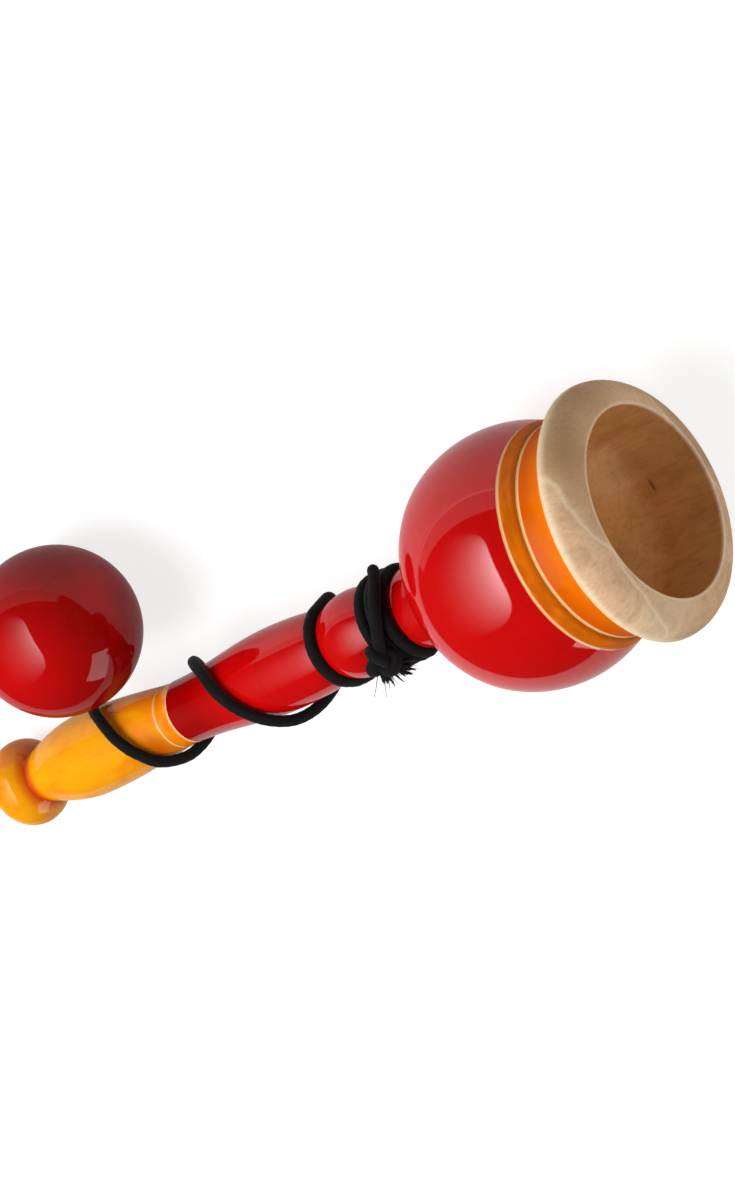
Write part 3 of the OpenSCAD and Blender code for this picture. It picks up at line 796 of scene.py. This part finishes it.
def turning_tree(tree):
    """A grid whose columns are the outline's points and whose rows go round the axis."""
    given = new_inputs(tree, [
        ("Outline", "Object"), ("Outline points", "Int"), ("Steps round", "Int"),
        ("Lacquer", "Material"), ("Wood", "Material"),
        ("Wood beyond", "Float"), ("Wood inside", "Float"), ("Wood floor", "Float"),
    ])
    outline = put("GeometryNodeObjectInfo", {"Object": given["Outline"]}, "Geometry")
    columns, rows = given["Outline points"], plus(given["Steps round"], 1.0)
    grid = put("GeometryNodeMeshGrid", {"Vertices X": rows, "Vertices Y": columns})
    index = add(tree, "GeometryNodeInputIndex").outputs[0]
    row = calc("FLOOR", calc("DIVIDE", plus(index, 0.5), columns))
    column = minus(index, times(row, columns))
    place = add(tree, "GeometryNodeInputPosition").outputs[0]
    drawn = xyz(put("GeometryNodeSampleIndex", {0: outline, 1: place, 2: column},
                    data_type="FLOAT_VECTOR", domain="POINT"))
    angle = times(calc("DIVIDE", row, given["Steps round"]), 2 * pi)
    spun = put("ShaderNodeCombineXYZ", {
        0: times(drawn[0], calc("COSINE", angle)),
        1: times(drawn[0], calc("SINE", angle)),
        2: drawn[2],
    })
    shaped = put("GeometryNodeSetPosition", {"Geometry": grid, "Position": spun})
    closed = put("GeometryNodeMergeByDistance", {"Geometry": shaped, "Distance": SAME_POINT})
    at = xyz(place)
    radius = length(put("ShaderNodeCombineXYZ", {0: at[0], 1: at[1]}))
    hollow = times(calc("LESS_THAN", radius, given["Wood inside"]),
                   calc("GREATER_THAN", at[2], given["Wood floor"]))
    bare = calc("MAXIMUM", calc("GREATER_THAN", at[2], given["Wood beyond"]), hollow)
    close_tree("NodeGroupOutput", put("GeometryNodeSetMaterial", {
        "Geometry": faced(closed, given["Lacquer"]), "Selection": bare, "Material": given["Wood"],
    }))


def placed(name, data, place=(0, 0, 0), axes=((1, 0, 0), (0, 1, 0), (0, 0, 1))):
    """A new object in the scene, from where it stands and which ways its axes go."""
    made = bpy.data.objects.new(name, data)
    made.matrix_world = Matrix.Translation(place) @ Matrix(axes).transposed().to_4x4()
    bpy.context.scene.collection.objects.link(made)
    return made


def drawn_curve(name, routes, radii=None):
    """A helper curve through points in millimetres, one spline for each route."""
    data = bpy.data.curves.new(name, "CURVE")
    data.dimensions = "3D"
    for number, route in enumerate(routes):
        spline = data.splines.new("POLY")
        spline.points.add(len(route) - 1)
        for i, (point, p) in enumerate(zip(spline.points, route)):
            point.co = (*(Vector(p) * MM), 1)
            point.radius = radii[number][i] if radii else 1.0
    return placed(name, data)


def grown(name, make, values, helper, pose):
    """Runs a tree on an empty mesh and keeps its result as a plain mesh at the origin."""
    piece = placed(name, bpy.data.meshes.new(name))
    modifier = piece.modifiers.new("made", "NODES")
    modifier.node_group = kept_tree(make)
    items = modifier.node_group.interface.items_tree
    sockets = {item.name: item.identifier for item in items if item.in_out == "INPUT"}
    for key, value in values.items():
        modifier[sockets[key]] = value
    ready = piece.evaluated_get(bpy.context.evaluated_depsgraph_get())
    mesh = bpy.data.meshes.new_from_object(ready)
    if not mesh.polygons:
        raise RuntimeError(f"{name} came out with no faces")
    piece.modifiers.remove(modifier)
    piece.data = mesh
    mesh.name = name
    mesh.transform(TO_METRES @ pose @ TO_METRES.inverted())
    bpy.data.objects.remove(helper)
    work = bmesh.new()
    work.from_mesh(mesh)
    bmesh.ops.recalc_face_normals(work, faces=work.faces)
    for edge in work.edges:
        edge.smooth = edge.calc_face_angle(0) < SHARP_ANGLE
    work.to_mesh(mesh)
    work.free()
    return piece


def turned(name, outline, pose, toy, lacquer, wood, beyond=BEYOND_ALL, inside=0.0, floor=0.0):
    """A turned piece from its outline of radii and stations.

    It is bare wood beyond a station, and inside a radius from its floor's station on.
    """
    points = softened(outline)
    helper = drawn_curve(name + "_outline", [[(r, 0, s) for r, s in points]])
    return grown(name, turning_tree, {
        "Outline": helper, "Outline points": len(points), "Steps round": toy.steps_round,
        "Lacquer": kept_finish(lacquer, toy), "Wood": kept_finish(wood, toy),
        "Wood beyond": beyond * MM, "Wood inside": inside * MM, "Wood floor": floor * MM,
    }, helper, pose)


# Cord, by Geometry Nodes along its route


def cord_tree(tree):
    """A braid along a route: a round profile, swept, with its plaits raised in crossing rows."""
    given = new_inputs(tree, [
        ("Route", "Object"), ("Diameter", "Float"), ("Ring step", "Float"), ("Sides", "Int"),
        ("Plaits", "Int"), ("Plait length", "Float"), ("Plait height", "Float"), ("Finish", "Material"),
    ])
    route = put("GeometryNodeObjectInfo", {"Object": given["Route"]}, "Geometry")
    feeds = {"Curve": route, "Length": given["Ring step"]}
    even = put("GeometryNodeResampleCurve", feeds, mode="LENGTH")
    along = add(tree, "GeometryNodeSplineParameter").outputs["Length"]
    marked = put("GeometryNodeStoreNamedAttribute", {
        "Geometry": even, "Name": "along", "Value": along,
    }, data_type="FLOAT", domain="POINT")
    radius = times(given["Diameter"], 0.5)
    ring = put("GeometryNodeCurvePrimitiveCircle", {"Resolution": given["Sides"], "Radius": radius})
    place = add(tree, "GeometryNodeInputPosition").outputs[0]
    around = vector_calc("SCALE", place, calc("DIVIDE", 1.0, radius))
    ring = put("GeometryNodeStoreNamedAttribute", {
        "Geometry": ring, "Name": "turn", "Value": around,
    }, data_type="FLOAT_VECTOR", domain="POINT")
    swept = put("GeometryNodeCurveToMesh", {
        "Curve": marked, "Profile Curve": ring, "Fill Caps": True,
        "Scale": add(tree, "GeometryNodeInputRadius").outputs[0],
    })
    turn, at = (add(tree, "GeometryNodeInputNamedAttribute", {"Name": name}, data_type=kind).outputs[0]
                for name, kind in (("turn", "FLOAT_VECTOR"), ("along", "FLOAT")))
    parts = xyz(turn)
    angle = times(calc("ARCTAN2", parts[1], parts[0]), given["Plaits"])
    lay = times(calc("DIVIDE", at, given["Plait length"]), 2 * pi)
    rows = times(calc("SINE", plus(angle, lay)), calc("SINE", minus(angle, lay)))
    normal = add(tree, "GeometryNodeInputNormal").outputs[0]
    raised = vector_calc("SCALE", normal, times(rows, given["Plait height"]))
    braided = put("GeometryNodeSetPosition", {"Geometry": swept, "Offset": raised})
    close_tree("NodeGroupOutput", faced(braided, given["Finish"]))


def corded(name, routes, toy, diameter=None, sides=CORD_SIDES, ring_step=CORD_STEP, height=None,
           radii=None):
    """A cord, or several, along routes in millimetres round the handle."""
    diameter = toy.cord_diameter if diameter is None else diameter * MM
    helper = drawn_curve(name + "_route", routes, radii)
    return grown(name, cord_tree, {
        "Route": helper, "Diameter": diameter, "Ring step": ring_step * MM, "Sides": sides,
        "Plaits": PLAITS, "Plait length": toy.plait_length,
        "Plait height": toy.plait_height if height is None else height * MM,
        "Finish": kept_finish(cord_black, toy),
    }, helper, LYING)


def round_handle(turn, along, out):
    """A point round the handle: turn 0 is on top, 90 towards the ball."""
    angle = radians(turn)
    return Vector((-out * cos(angle), out * sin(angle), along))


def beside_handle(along, side, up):
    """A point beside the handle."""
    return Vector((-up, side, along))


def on_wrap(turn, past, above):
    """A point on the tied turns."""
    return round_handle(turn, NECK_AT + past, WRAP_TOP_R + above)


def smooth_route(points):
    """A smooth curve through points."""
    last = len(points) - 1
    made = []
    for i in range(last):
        a, b, c, d = points[max(i - 1, 0)], points[i], points[i + 1], points[min(i + 2, last)]
        for k in range(ROUTE_STEPS):
            u = k / ROUTE_STEPS
            made.append((2 * b + (c - a) * u + (2 * a - 5 * b + 4 * c - d) * u**2
                         + (3 * b - a - 3 * c + d) * u**3) / 2)
    return made + [points[last]]


def whole_cord():
    """The cord from the tied turns to the knot in the ball, and the index where the tether starts."""
    outline = handle_outline(0)
    first_at = COLLAR_AT - CORD_R - CORD_GAP
    helix = []
    for i in range(int(WRAP_TURNS * WRAP_STEPS) + 1):
        turns = i / WRAP_STEPS
        helix.append(round_handle(WRAP_FIRST_TURN + 360 * turns, first_at - WRAP_PITCH * turns, WRAP_R))
    start_dir = (helix[1] - helix[0]).normalized()
    end_dir = (helix[-1] - helix[-2]).normalized()
    wrap_end = helix[-1] + end_dir * CORD_R * 2
    wound = []
    for turn, past, slack in WINDING:
        at = GROOVE_AT + past
        wound.append(round_handle(turn, at, radius_at(outline, at) + CORD_R + CORD_GAP + slack))
    hole = HOLE_TURN @ Vector((0, 0, 1))
    free = [beside_handle(*p) for p in TETHER]
    free += [BALL_MID + hole * (BALL_R + HOLE_LEAD), BALL_MID + hole * BALL_R]
    tied = [helix[0] - start_dir * CORD_R * 2] + helix
    loose = smooth_route([wrap_end, wrap_end + end_dir * CORD_R * 2] + wound + free)
    tether_from = len(tied) + ROUTE_STEPS * (len(wound) + 1)
    return tied + loose + [BALL_MID + hole * STOPPER_TOP], tether_from


def in_metres(route):
    """A route's points in the frame."""
    return [LYING @ Vector(p) * MM for p in route]


def route_length(points):
    """Length of a route."""
    return sum((b - a).length for a, b in zip(points, points[1:]))


def rounded_end(route):
    """Radii along a route that close its start in a dome."""
    radii, run = [], 0.0
    for i, p in enumerate(route):
        run += (p - route[i - 1]).length if i else 0.0
        share = min(run / CORD_R, 1.0)
        radii.append(max(sqrt(max(1 - (1 - share) ** 2, 0.0)), DOME_LEAST))
    return radii


def fit(piece, body, slot, *nodes):
    """Puts a piece on its body, in place of the CAD nodes that it stands for, which it hides; its slot
    is not used.
    """
    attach(piece, body)
    if nodes:
        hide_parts(*nodes)


# Settings and operators


def tint(name, colour):
    """A colour that a user may change."""
    return bpy.props.FloatVectorProperty(
        name=name, default=colour, subtype="COLOR", size=3, min=0, max=1)


def thickness(name, size):
    """A small length that a user may change."""
    return bpy.props.FloatProperty(name=name, default=size, unit="LENGTH")


def fraction(name, part):
    """A part of the whole that a user may change."""
    return bpy.props.FloatProperty(name=name, default=part, subtype="FACTOR", min=0, max=1)


def count(name, number, least, most):
    """A number of like things that a user may change."""
    return bpy.props.IntProperty(name=name, default=number, min=least, max=most)


def glow(name, level):
    """A brightness that a user may change."""
    return bpy.props.FloatProperty(name=name, default=level, min=0, max=20)


class ToySettings(bpy.types.PropertyGroup):
    """Sizes and colours that a user would change."""

    steps_round: count("Faces round a turned piece", 176, 48, 240)
    cord_diameter: thickness("Cord's thickness", 0.003)
    plait_length: thickness("Length of one plait", 0.0042)
    plait_height: thickness("Height of the plaits", 0.00005)
    fibres: count("Fibres at each frayed end", 18, 0, 120)
    tufts: count("Tufts at each frayed end", 16, 0, 40)
    gloss_roughness: fraction("Roughness of the gloss", 0.05)
    red: tint("Red of cup and handle", (0.62, 0.002, 0.002))
    red_dark: tint("Darker rings in the red", (0.48, 0.001, 0.001))
    # Painted shade on the red above the ring cuts
    red_painted_shade: tint("Red above the ring cuts", (0.33, 0.001, 0.001))
    red_pale: tint("Paler clouds in the red", (0.70, 0.003, 0.002))
    ball_red: tint("Red of the ball", (0.31, 0.002, 0.002))
    ball_dark: tint("Darker rings on the ball", (0.18, 0.002, 0.002))
    # Also the painted light on the ball's lit top
    ball_pale: tint("Paler clouds on the ball", (0.56, 0.003, 0.003))
    band_brown: tint("First band", (0.80, 0.18, 0.004))
    band_shade: tint("First band's dark flecks", (0.63, 0.13, 0.003))
    # Painted shade at the first band's edge
    band_edge_shade: tint("First band's edge", (0.27, 0.055, 0.002))
    # Painted shade in the second band's cove
    band_cove_shade: tint("Second band's hollow", (0.76, 0.115, 0.002))
    band_orange: tint("Second band", (0.98, 0.205, 0.002))
    band_glow: tint("Second band's bright flecks", (1.0, 0.27, 0.003))
    # Also the painted highlight right on the rim's back edge
    cut_line_and_highlight: tint("Pale wood in the cut lines", (0.96, 0.63, 0.29))
    grip_yellow: tint("Grip and pommel", (0.97, 0.385, 0.004))
    grip_orange: tint("Deeper clouds on the grip", (0.92, 0.21, 0.004))
    grip_shade: tint("Fine streaks on the grip", (0.84, 0.24, 0.006))
    # A darker patch on the grip's top, between the cord and the low ring
    grip_dark_patch: tint("Grip darkened by the cord", (0.5, 0.085, 0.001))
    groove_orange: tint("Tail groove", (0.66, 0.07, 0.004))
    speck: tint("Specks under the gloss", (0.16, 0.02, 0.01))
    # Also the pale painted light on the hollow's lit floor
    wood_pale: tint("Bare wood", (0.86, 0.56, 0.34))
    wood_grey: tint("Late wood", (0.62, 0.38, 0.20))
    # Also the brown painted shade on the rim's shaded side
    wood_brown: tint("Fibres and stains", (0.46, 0.26, 0.125))
    wood_dark: tint("Pores and knot", (0.18, 0.10, 0.05))
    # Also a pale patch of painted light on the rim's lit side, and the painted highlight on the rim's
    # back edge
    wood_lines_and_highlights: tint("Worn edges and growth lines", (1.0, 0.81, 0.56))
    hollow_tint: tint("Wood inside the cup", (0.78, 0.56, 0.27))
    cord_black: tint("Cord", (0.005, 0.005, 0.0055))
    cord_shine: tint("Shining fibres", (0.011, 0.011, 0.012))
    cord_dust: tint("Lint on the cord", (0.035, 0.035, 0.04))
    floor: tint("Floor", (0.40, 0.40, 0.40))
    floor_glow: fraction("Floor's white near the toy", 0.76)
    key_glow: glow("Key panel", 13.5)
    board_glow: glow("Low board behind", 0.8)
    window_glow: glow("Low window", 4.4)
    soft_glow: glow("Soft light from above", 5.7)
    side_glow: glow("Fill on the tail's side", 0.9)
    near_glow: glow("Fill behind the cup", 1.2)
    mouth_glow: glow("Fill before the mouth", 1.7)
    sky: glow("Room all round", 0.08)


class TOY_OT_stage(bpy.types.Operator):
    """Sets the photograph's camera, the pale floor and the soft lights"""

    bl_idname = "toy.stage"
    bl_label = "Stage"

    def execute(self, context):
        toy = context.scene.toy
        self.set_camera(context.scene)
        self.lay_floor(toy)
        self.hang_lights(context.scene, toy)
        context.scene.view_settings.view_transform = "Standard"
        return {"FINISHED"}

    def set_camera(self, scene):
        """The photograph's view."""
        data = bpy.data.cameras.new("camera")
        data.sensor_fit = "VERTICAL"
        data.sensor_width = data.sensor_height = SENSOR
        data.lens = FOCAL_PIXELS / PHOTO_SIZE[1] * SENSOR
        data.shift_x = (PHOTO_SIZE[0] / 2 - AXIS_PIXEL[0]) / PHOTO_SIZE[1]
        data.shift_y = (AXIS_PIXEL[1] - PHOTO_SIZE[1] / 2) / PHOTO_SIZE[1]
        data.clip_start, data.clip_end = CLIP
        right, up = Vector(CAMERA_RIGHT).normalized(), Vector(CAMERA_UP).normalized()
        scene.camera = placed("camera", data, CAMERA_AT, (right, up, right.cross(up)))

    def lay_floor(self, toy):
        """A plain floor that looks white and keeps the shadow."""
        work = bmesh.new()
        bmesh.ops.create_circle(work, radius=FLOOR_R, segments=FLOOR_SIDES, cap_ends=True)
        bmesh.ops.translate(work, verts=work.verts, vec=(0, 0, -FLOOR_DROP))
        mesh = bpy.data.meshes.new("floor")
        work.to_mesh(mesh)
        work.free()
        floor = placed("floor", mesh)
        material, tree = finish_tree("floor_white")
        matt = add(tree, "ShaderNodeBsdfDiffuse", {"Color": (*toy.floor, 1)}).outputs[0]
        ray = add(tree, "ShaderNodeLightPath").outputs
        mirrored = calc("MAXIMUM", ray["Is Glossy Ray"], ray["Is Transmission Ray"])
        seen = calc("MAXIMUM", ray["Is Camera Ray"], mirrored)
        away = length(add(tree, "ShaderNodeTexCoord").outputs["Object"])
        level = step(away, WHITE_FROM, WHITE_TO, toy.floor_glow, 1.0)
        white = put("ShaderNodeEmission", {"Strength": times(seen, level)})
        close_tree("ShaderNodeOutputMaterial", put("ShaderNodeAddShader", {0: matt, 1: white}))
        mesh.materials.append(material)

    def hang_lights(self, scene, toy):
        """The panels, the soft lights and a dim room."""
        for name, glow_name, place, facing, size in PANELS:
            panel = self.hang(name, place, facing, size, getattr(toy, glow_name))
            panel.visible_diffuse = False
            if glow_name == "key_glow":
                self.fade(panel.data)
        for name, glow_name, place, size in FILLS:
            fill = self.hang(name, place, -Vector(place), size, getattr(toy, glow_name))
            fill.visible_glossy = False
        world = bpy.data.worlds.new("studio")
        scene.world = world
        world.use_nodes = True
        tree = world.node_tree
        tree.nodes.clear()
        sky = add(tree, "ShaderNodeBackground", {"Color": (1, 1, 1, 1), "Strength": toy.sky}).outputs[0]
        close_tree("ShaderNodeOutputWorld", sky)

    def fade(self, data):
        """Lets a panel's light fade from one edge, within round corners."""
        data.use_nodes = True
        tree = data.node_tree
        tree.nodes.clear()
        across, along, _ = xyz(add(tree, "ShaderNodeNewGeometry").outputs["Parametric"])
        hump = calc("SINE", times(calc("POWER", along, KEY_SKEW), pi))
        level = times(calc("POWER", across, KEY_FADE), hump)
        from_edge = []
        for share in (across, along):
            middle = calc("ABSOLUTE", calc("MULTIPLY_ADD", share, 2.0, -1.0))
            from_edge.append(calc("POWER", middle, KEY_SQUARE))
        inside = step(plus(*from_edge), KEY_EDGE, 1.0, 1.0, 0.0)
        light = put("ShaderNodeEmission", {"Strength": times(level, inside)})
        close_tree("ShaderNodeOutputLight", light)

    def hang(self, name, place, facing, size, brightness):
        """A square lamp that the camera doesn't see."""
        data = bpy.data.lights.new(name, "AREA")
        data.shape = "RECTANGLE"
        data.size, data.size_y = size
        data.energy = brightness * pi * size[0] * size[1]
        back = -Vector(facing).normalized()
        upright = Vector((0, 0, 1)) if abs(back.z) < STEEP else Vector((0, 1, 0))
        across = upright.cross(back).normalized()
        lamp = placed(name, data, place, (across, back.cross(across), back))
        lamp.visible_camera = False
        return lamp


class TOY_OT_cord(bpy.types.Operator):
    """Winds the cord round the handle and leads its free end to the ball"""

    bl_idname = "toy.cord"
    bl_label = "Cord"

    def execute(self, context):
        toy = context.scene.toy
        route, tether_from = whole_cord()
        wound, free = route[:tether_from + 1], route[tether_from:]
        winding = corded("winding", [wound], toy, radii=[rounded_end(wound)])
        tether = corded("tether_cord", [free], toy)
        fit(winding, "toy", "black_cord", "neck_wrap", "loose_winding")
        path = in_metres(wound)
        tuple(path[0])
        route_length(path)
        start, end = (LYING @ (UNWIND * reach) * MM for reach in UNWIND_SPAN)
        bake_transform(tether)
        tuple(start)
        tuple(end)
        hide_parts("tether")
        path = in_metres(free)
        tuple(path[0])
        route_length(path)
        return {"FINISHED"}


class TOY_OT_knot(bpy.types.Operator):
    """Ties the knot on the wound turns and frays its two ends"""

    bl_idname = "toy.knot"
    bl_label = "Knot"

    def execute(self, context):
        toy = context.scene.toy
        knot = corded("knot_loops", [self.loops()], toy, diameter=KNOT_D, ring_step=0.25)
        fit(knot, "toy", "black_cord", "neck_knot")
        strand, *tails, brush = (
            smooth_route([on_wrap(*p) for p in route]) for route in (STRAND, *TAILS, BRUSH))
        tie = corded("tie_cord", [strand], toy, radii=[rounded_end(strand)])
        fit(tie, "toy", "black_cord", "tie_strand")
        ends = corded("knot_ends", [tail[:len(tail) * 2 // 3] for tail in tails], toy)
        fit(ends, "toy", "black_cord", "knot_tails")
        fibres, radii = self.fray([*tails, brush], toy)
        fray = corded("frayed_fibres", fibres, toy, diameter=FIBRE_D, sides=5, ring_step=0.5, height=0,
                      radii=radii)
        fit(fray, "toy", "black_cord")
        return {"FINISHED"}

    def loops(self):
        """The knot's one strand, crossing itself three times."""
        out = (on_wrap(KNOT_TURN, 0, 1) - on_wrap(KNOT_TURN, 0, 0)).normalized()
        along = Vector((0, 0, 1))
        across = along.cross(out)
        middle = on_wrap(KNOT_TURN, KNOT_ALONG, KNOT_UP)
        points = []
        for i in range(KNOT_STEPS):
            t = 2 * pi * i / KNOT_STEPS
            x, y = sin(t) + 2 * sin(2 * t), cos(t) - 2 * cos(2 * t)
            z = -sin(3 * t) * KNOT_DEPTH
            points.append(middle + KNOT_SCALE * (along * x + across * y + out * z))
        return points

    def fray(self, tails, toy):
        """Tufts and fibres from each tail's end, and two long whiskers, with their thicknesses."""
        draw = random.Random(SEED)
        fibres, radii = [], []
        for tail in tails:
            tip = tail[-1]
            way = (tip - tail[-FRAY_POINTS]).normalized()
            out = Vector((tip.x, tip.y, 0)).normalized()
            side = way.cross(out).normalized()
            for number in range(toy.tufts + toy.fibres):
                tuft = number < toy.tufts
                angle, r = draw.uniform(0, 2 * pi), FRAY_R * sqrt(draw.random())
                thick = draw.uniform(*(TUFT_THICK if tuft else FIBRE_THICK))
                reach = draw.uniform(*(TUFT_L if tuft else FIBRE_L))
                aside = side * cos(angle) + out * sin(angle)
                start = tip + aside * r * FRAY_WAIST - way * FRAY_ROOT
                droop = out * draw.uniform(*FIBRE_DROOP) + side * draw.uniform(*FIBRE_SWAY)
                spread = aside * draw.uniform(*FIBRE_SPREAD) * r
                fibres.append([start + (way + spread) * reach * u + droop * reach * u * u * 0.5
                               for u in FIBRE_SHARES])
                radii.append([thick * (1 - FIBRE_TAPER * u**3) for u in FIBRE_SHARES])
        for place, lean in WHISKERS:
            start = on_wrap(*place)
            fibres.append([start + (WHISKER_WAY + Vector(lean) * u) * WHISKER_L * u
                           for u in FIBRE_SHARES])
            radii.append([WHISKER_THICK * (1 - WHISKER_TAPER * u) for u in FIBRE_SHARES])
        return fibres, radii


class TOY_OT_cup(bpy.types.Operator):
    """Turns the cup: lacquered outside, bare wood on the rim and in the hollow"""

    bl_idname = "toy.cup"
    bl_label = "Cup"

    def execute(self, context):
        toy = context.scene.toy
        cup = turned("cup_turning", cup_outline(), LYING, toy, cup_lacquer, sanded_wood,
                     RIM_BARE_AT, HOLLOW_BARE_R, HOLLOW_BARE_AT)
        fit(cup, "toy", "red_lacquer", "cup")
        return {"FINISHED"}


class TOY_OT_handle(bpy.types.Operator):
    """Turns the handle from the pommel to the tenon"""

    bl_idname = "toy.handle"
    bl_label = "Handle"

    def execute(self, context):
        toy = context.scene.toy
        handle = turned("handle_turning", handle_outline(), LYING, toy, handle_lacquer, sanded_wood,
                        TENON_BARE_AT)
        fit(handle, "toy", "red_lacquer", "handle")
        return {"FINISHED"}


class TOY_OT_ball(bpy.types.Operator):
    """Turns the ball and its plug, and ties the knot behind it"""

    bl_idname = "toy.ball"
    bl_label = "Ball"

    def execute(self, context):
        toy = context.scene.toy
        ball = turned("ball_turning", ball_outline(), BALL_HOLE, toy, ball_lacquer, sanded_wood,
                      inside=HOLE_BARE_R)
        fit(ball, "ball", "dark_red_lacquer", "ball")
        plug = turned("plug_turning", plug_outline(), BALL_HOLE, toy, sanded_wood, sanded_wood)
        fit(plug, "ball", "bare_wood", "ball_plug")
        knot = corded("stopper_turns", [self.stopper()], toy)
        fit(knot, "ball", "black_cord", "stopper_knot")
        return {"FINISHED"}

    def stopper(self):
        """The knot's two turns behind the plug."""
        r, to_handle = STOPPER_D / 2 - CORD_R, LYING.inverted() @ BALL_HOLE
        points = []
        for i in range(STOPPER_STEPS + 1):
            u = i / STOPPER_STEPS
            angle = 2 * pi * STOPPER_TURNS * u
            rise = STOPPER_MID + (u - 0.5) * STOPPER_RISE
            points.append(to_handle @ Vector((r * cos(angle), r * sin(angle), rise)))
        return points


class TOY_PT_panel(bpy.types.Panel):
    """Lists the toy's sizes, colours and pieces"""

    bl_idname = "TOY_PT_panel"
    bl_label = "Cup and ball toy"
    bl_space_type = "VIEW_3D"
    bl_region_type = "UI"
    bl_category = "Toy"

    def draw(self, context):
        toy = context.scene.toy
        for name in toy.bl_rna.properties.keys():
            if name not in ("rna_type", "name"):
                self.layout.prop(toy, name)
        for operator in OPERATORS:
            self.layout.operator(operator.bl_idname)


OPERATORS = (TOY_OT_stage, TOY_OT_cord, TOY_OT_knot, TOY_OT_cup, TOY_OT_handle, TOY_OT_ball)
CLASSES = (ToySettings, *OPERATORS, TOY_PT_panel)


def register():
    """Makes the classes known and gives the scene its settings."""
    for made in CLASSES:
        bpy.utils.register_class(made)
    bpy.types.Scene.toy = bpy.props.PointerProperty(type=ToySettings)


def unregister():
    """Takes them away again."""
    del bpy.types.Scene.toy
    for made in reversed(CLASSES):
        bpy.utils.unregister_class(made)


def main():
    """Makes every piece in order."""
    register()
    bpy.ops.toy.stage()
    bpy.ops.toy.cord()
    bpy.ops.toy.knot()
    bpy.ops.toy.cup()
    bpy.ops.toy.handle()
    bpy.ops.toy.ball()


if __name__ == "__main__":
    main()
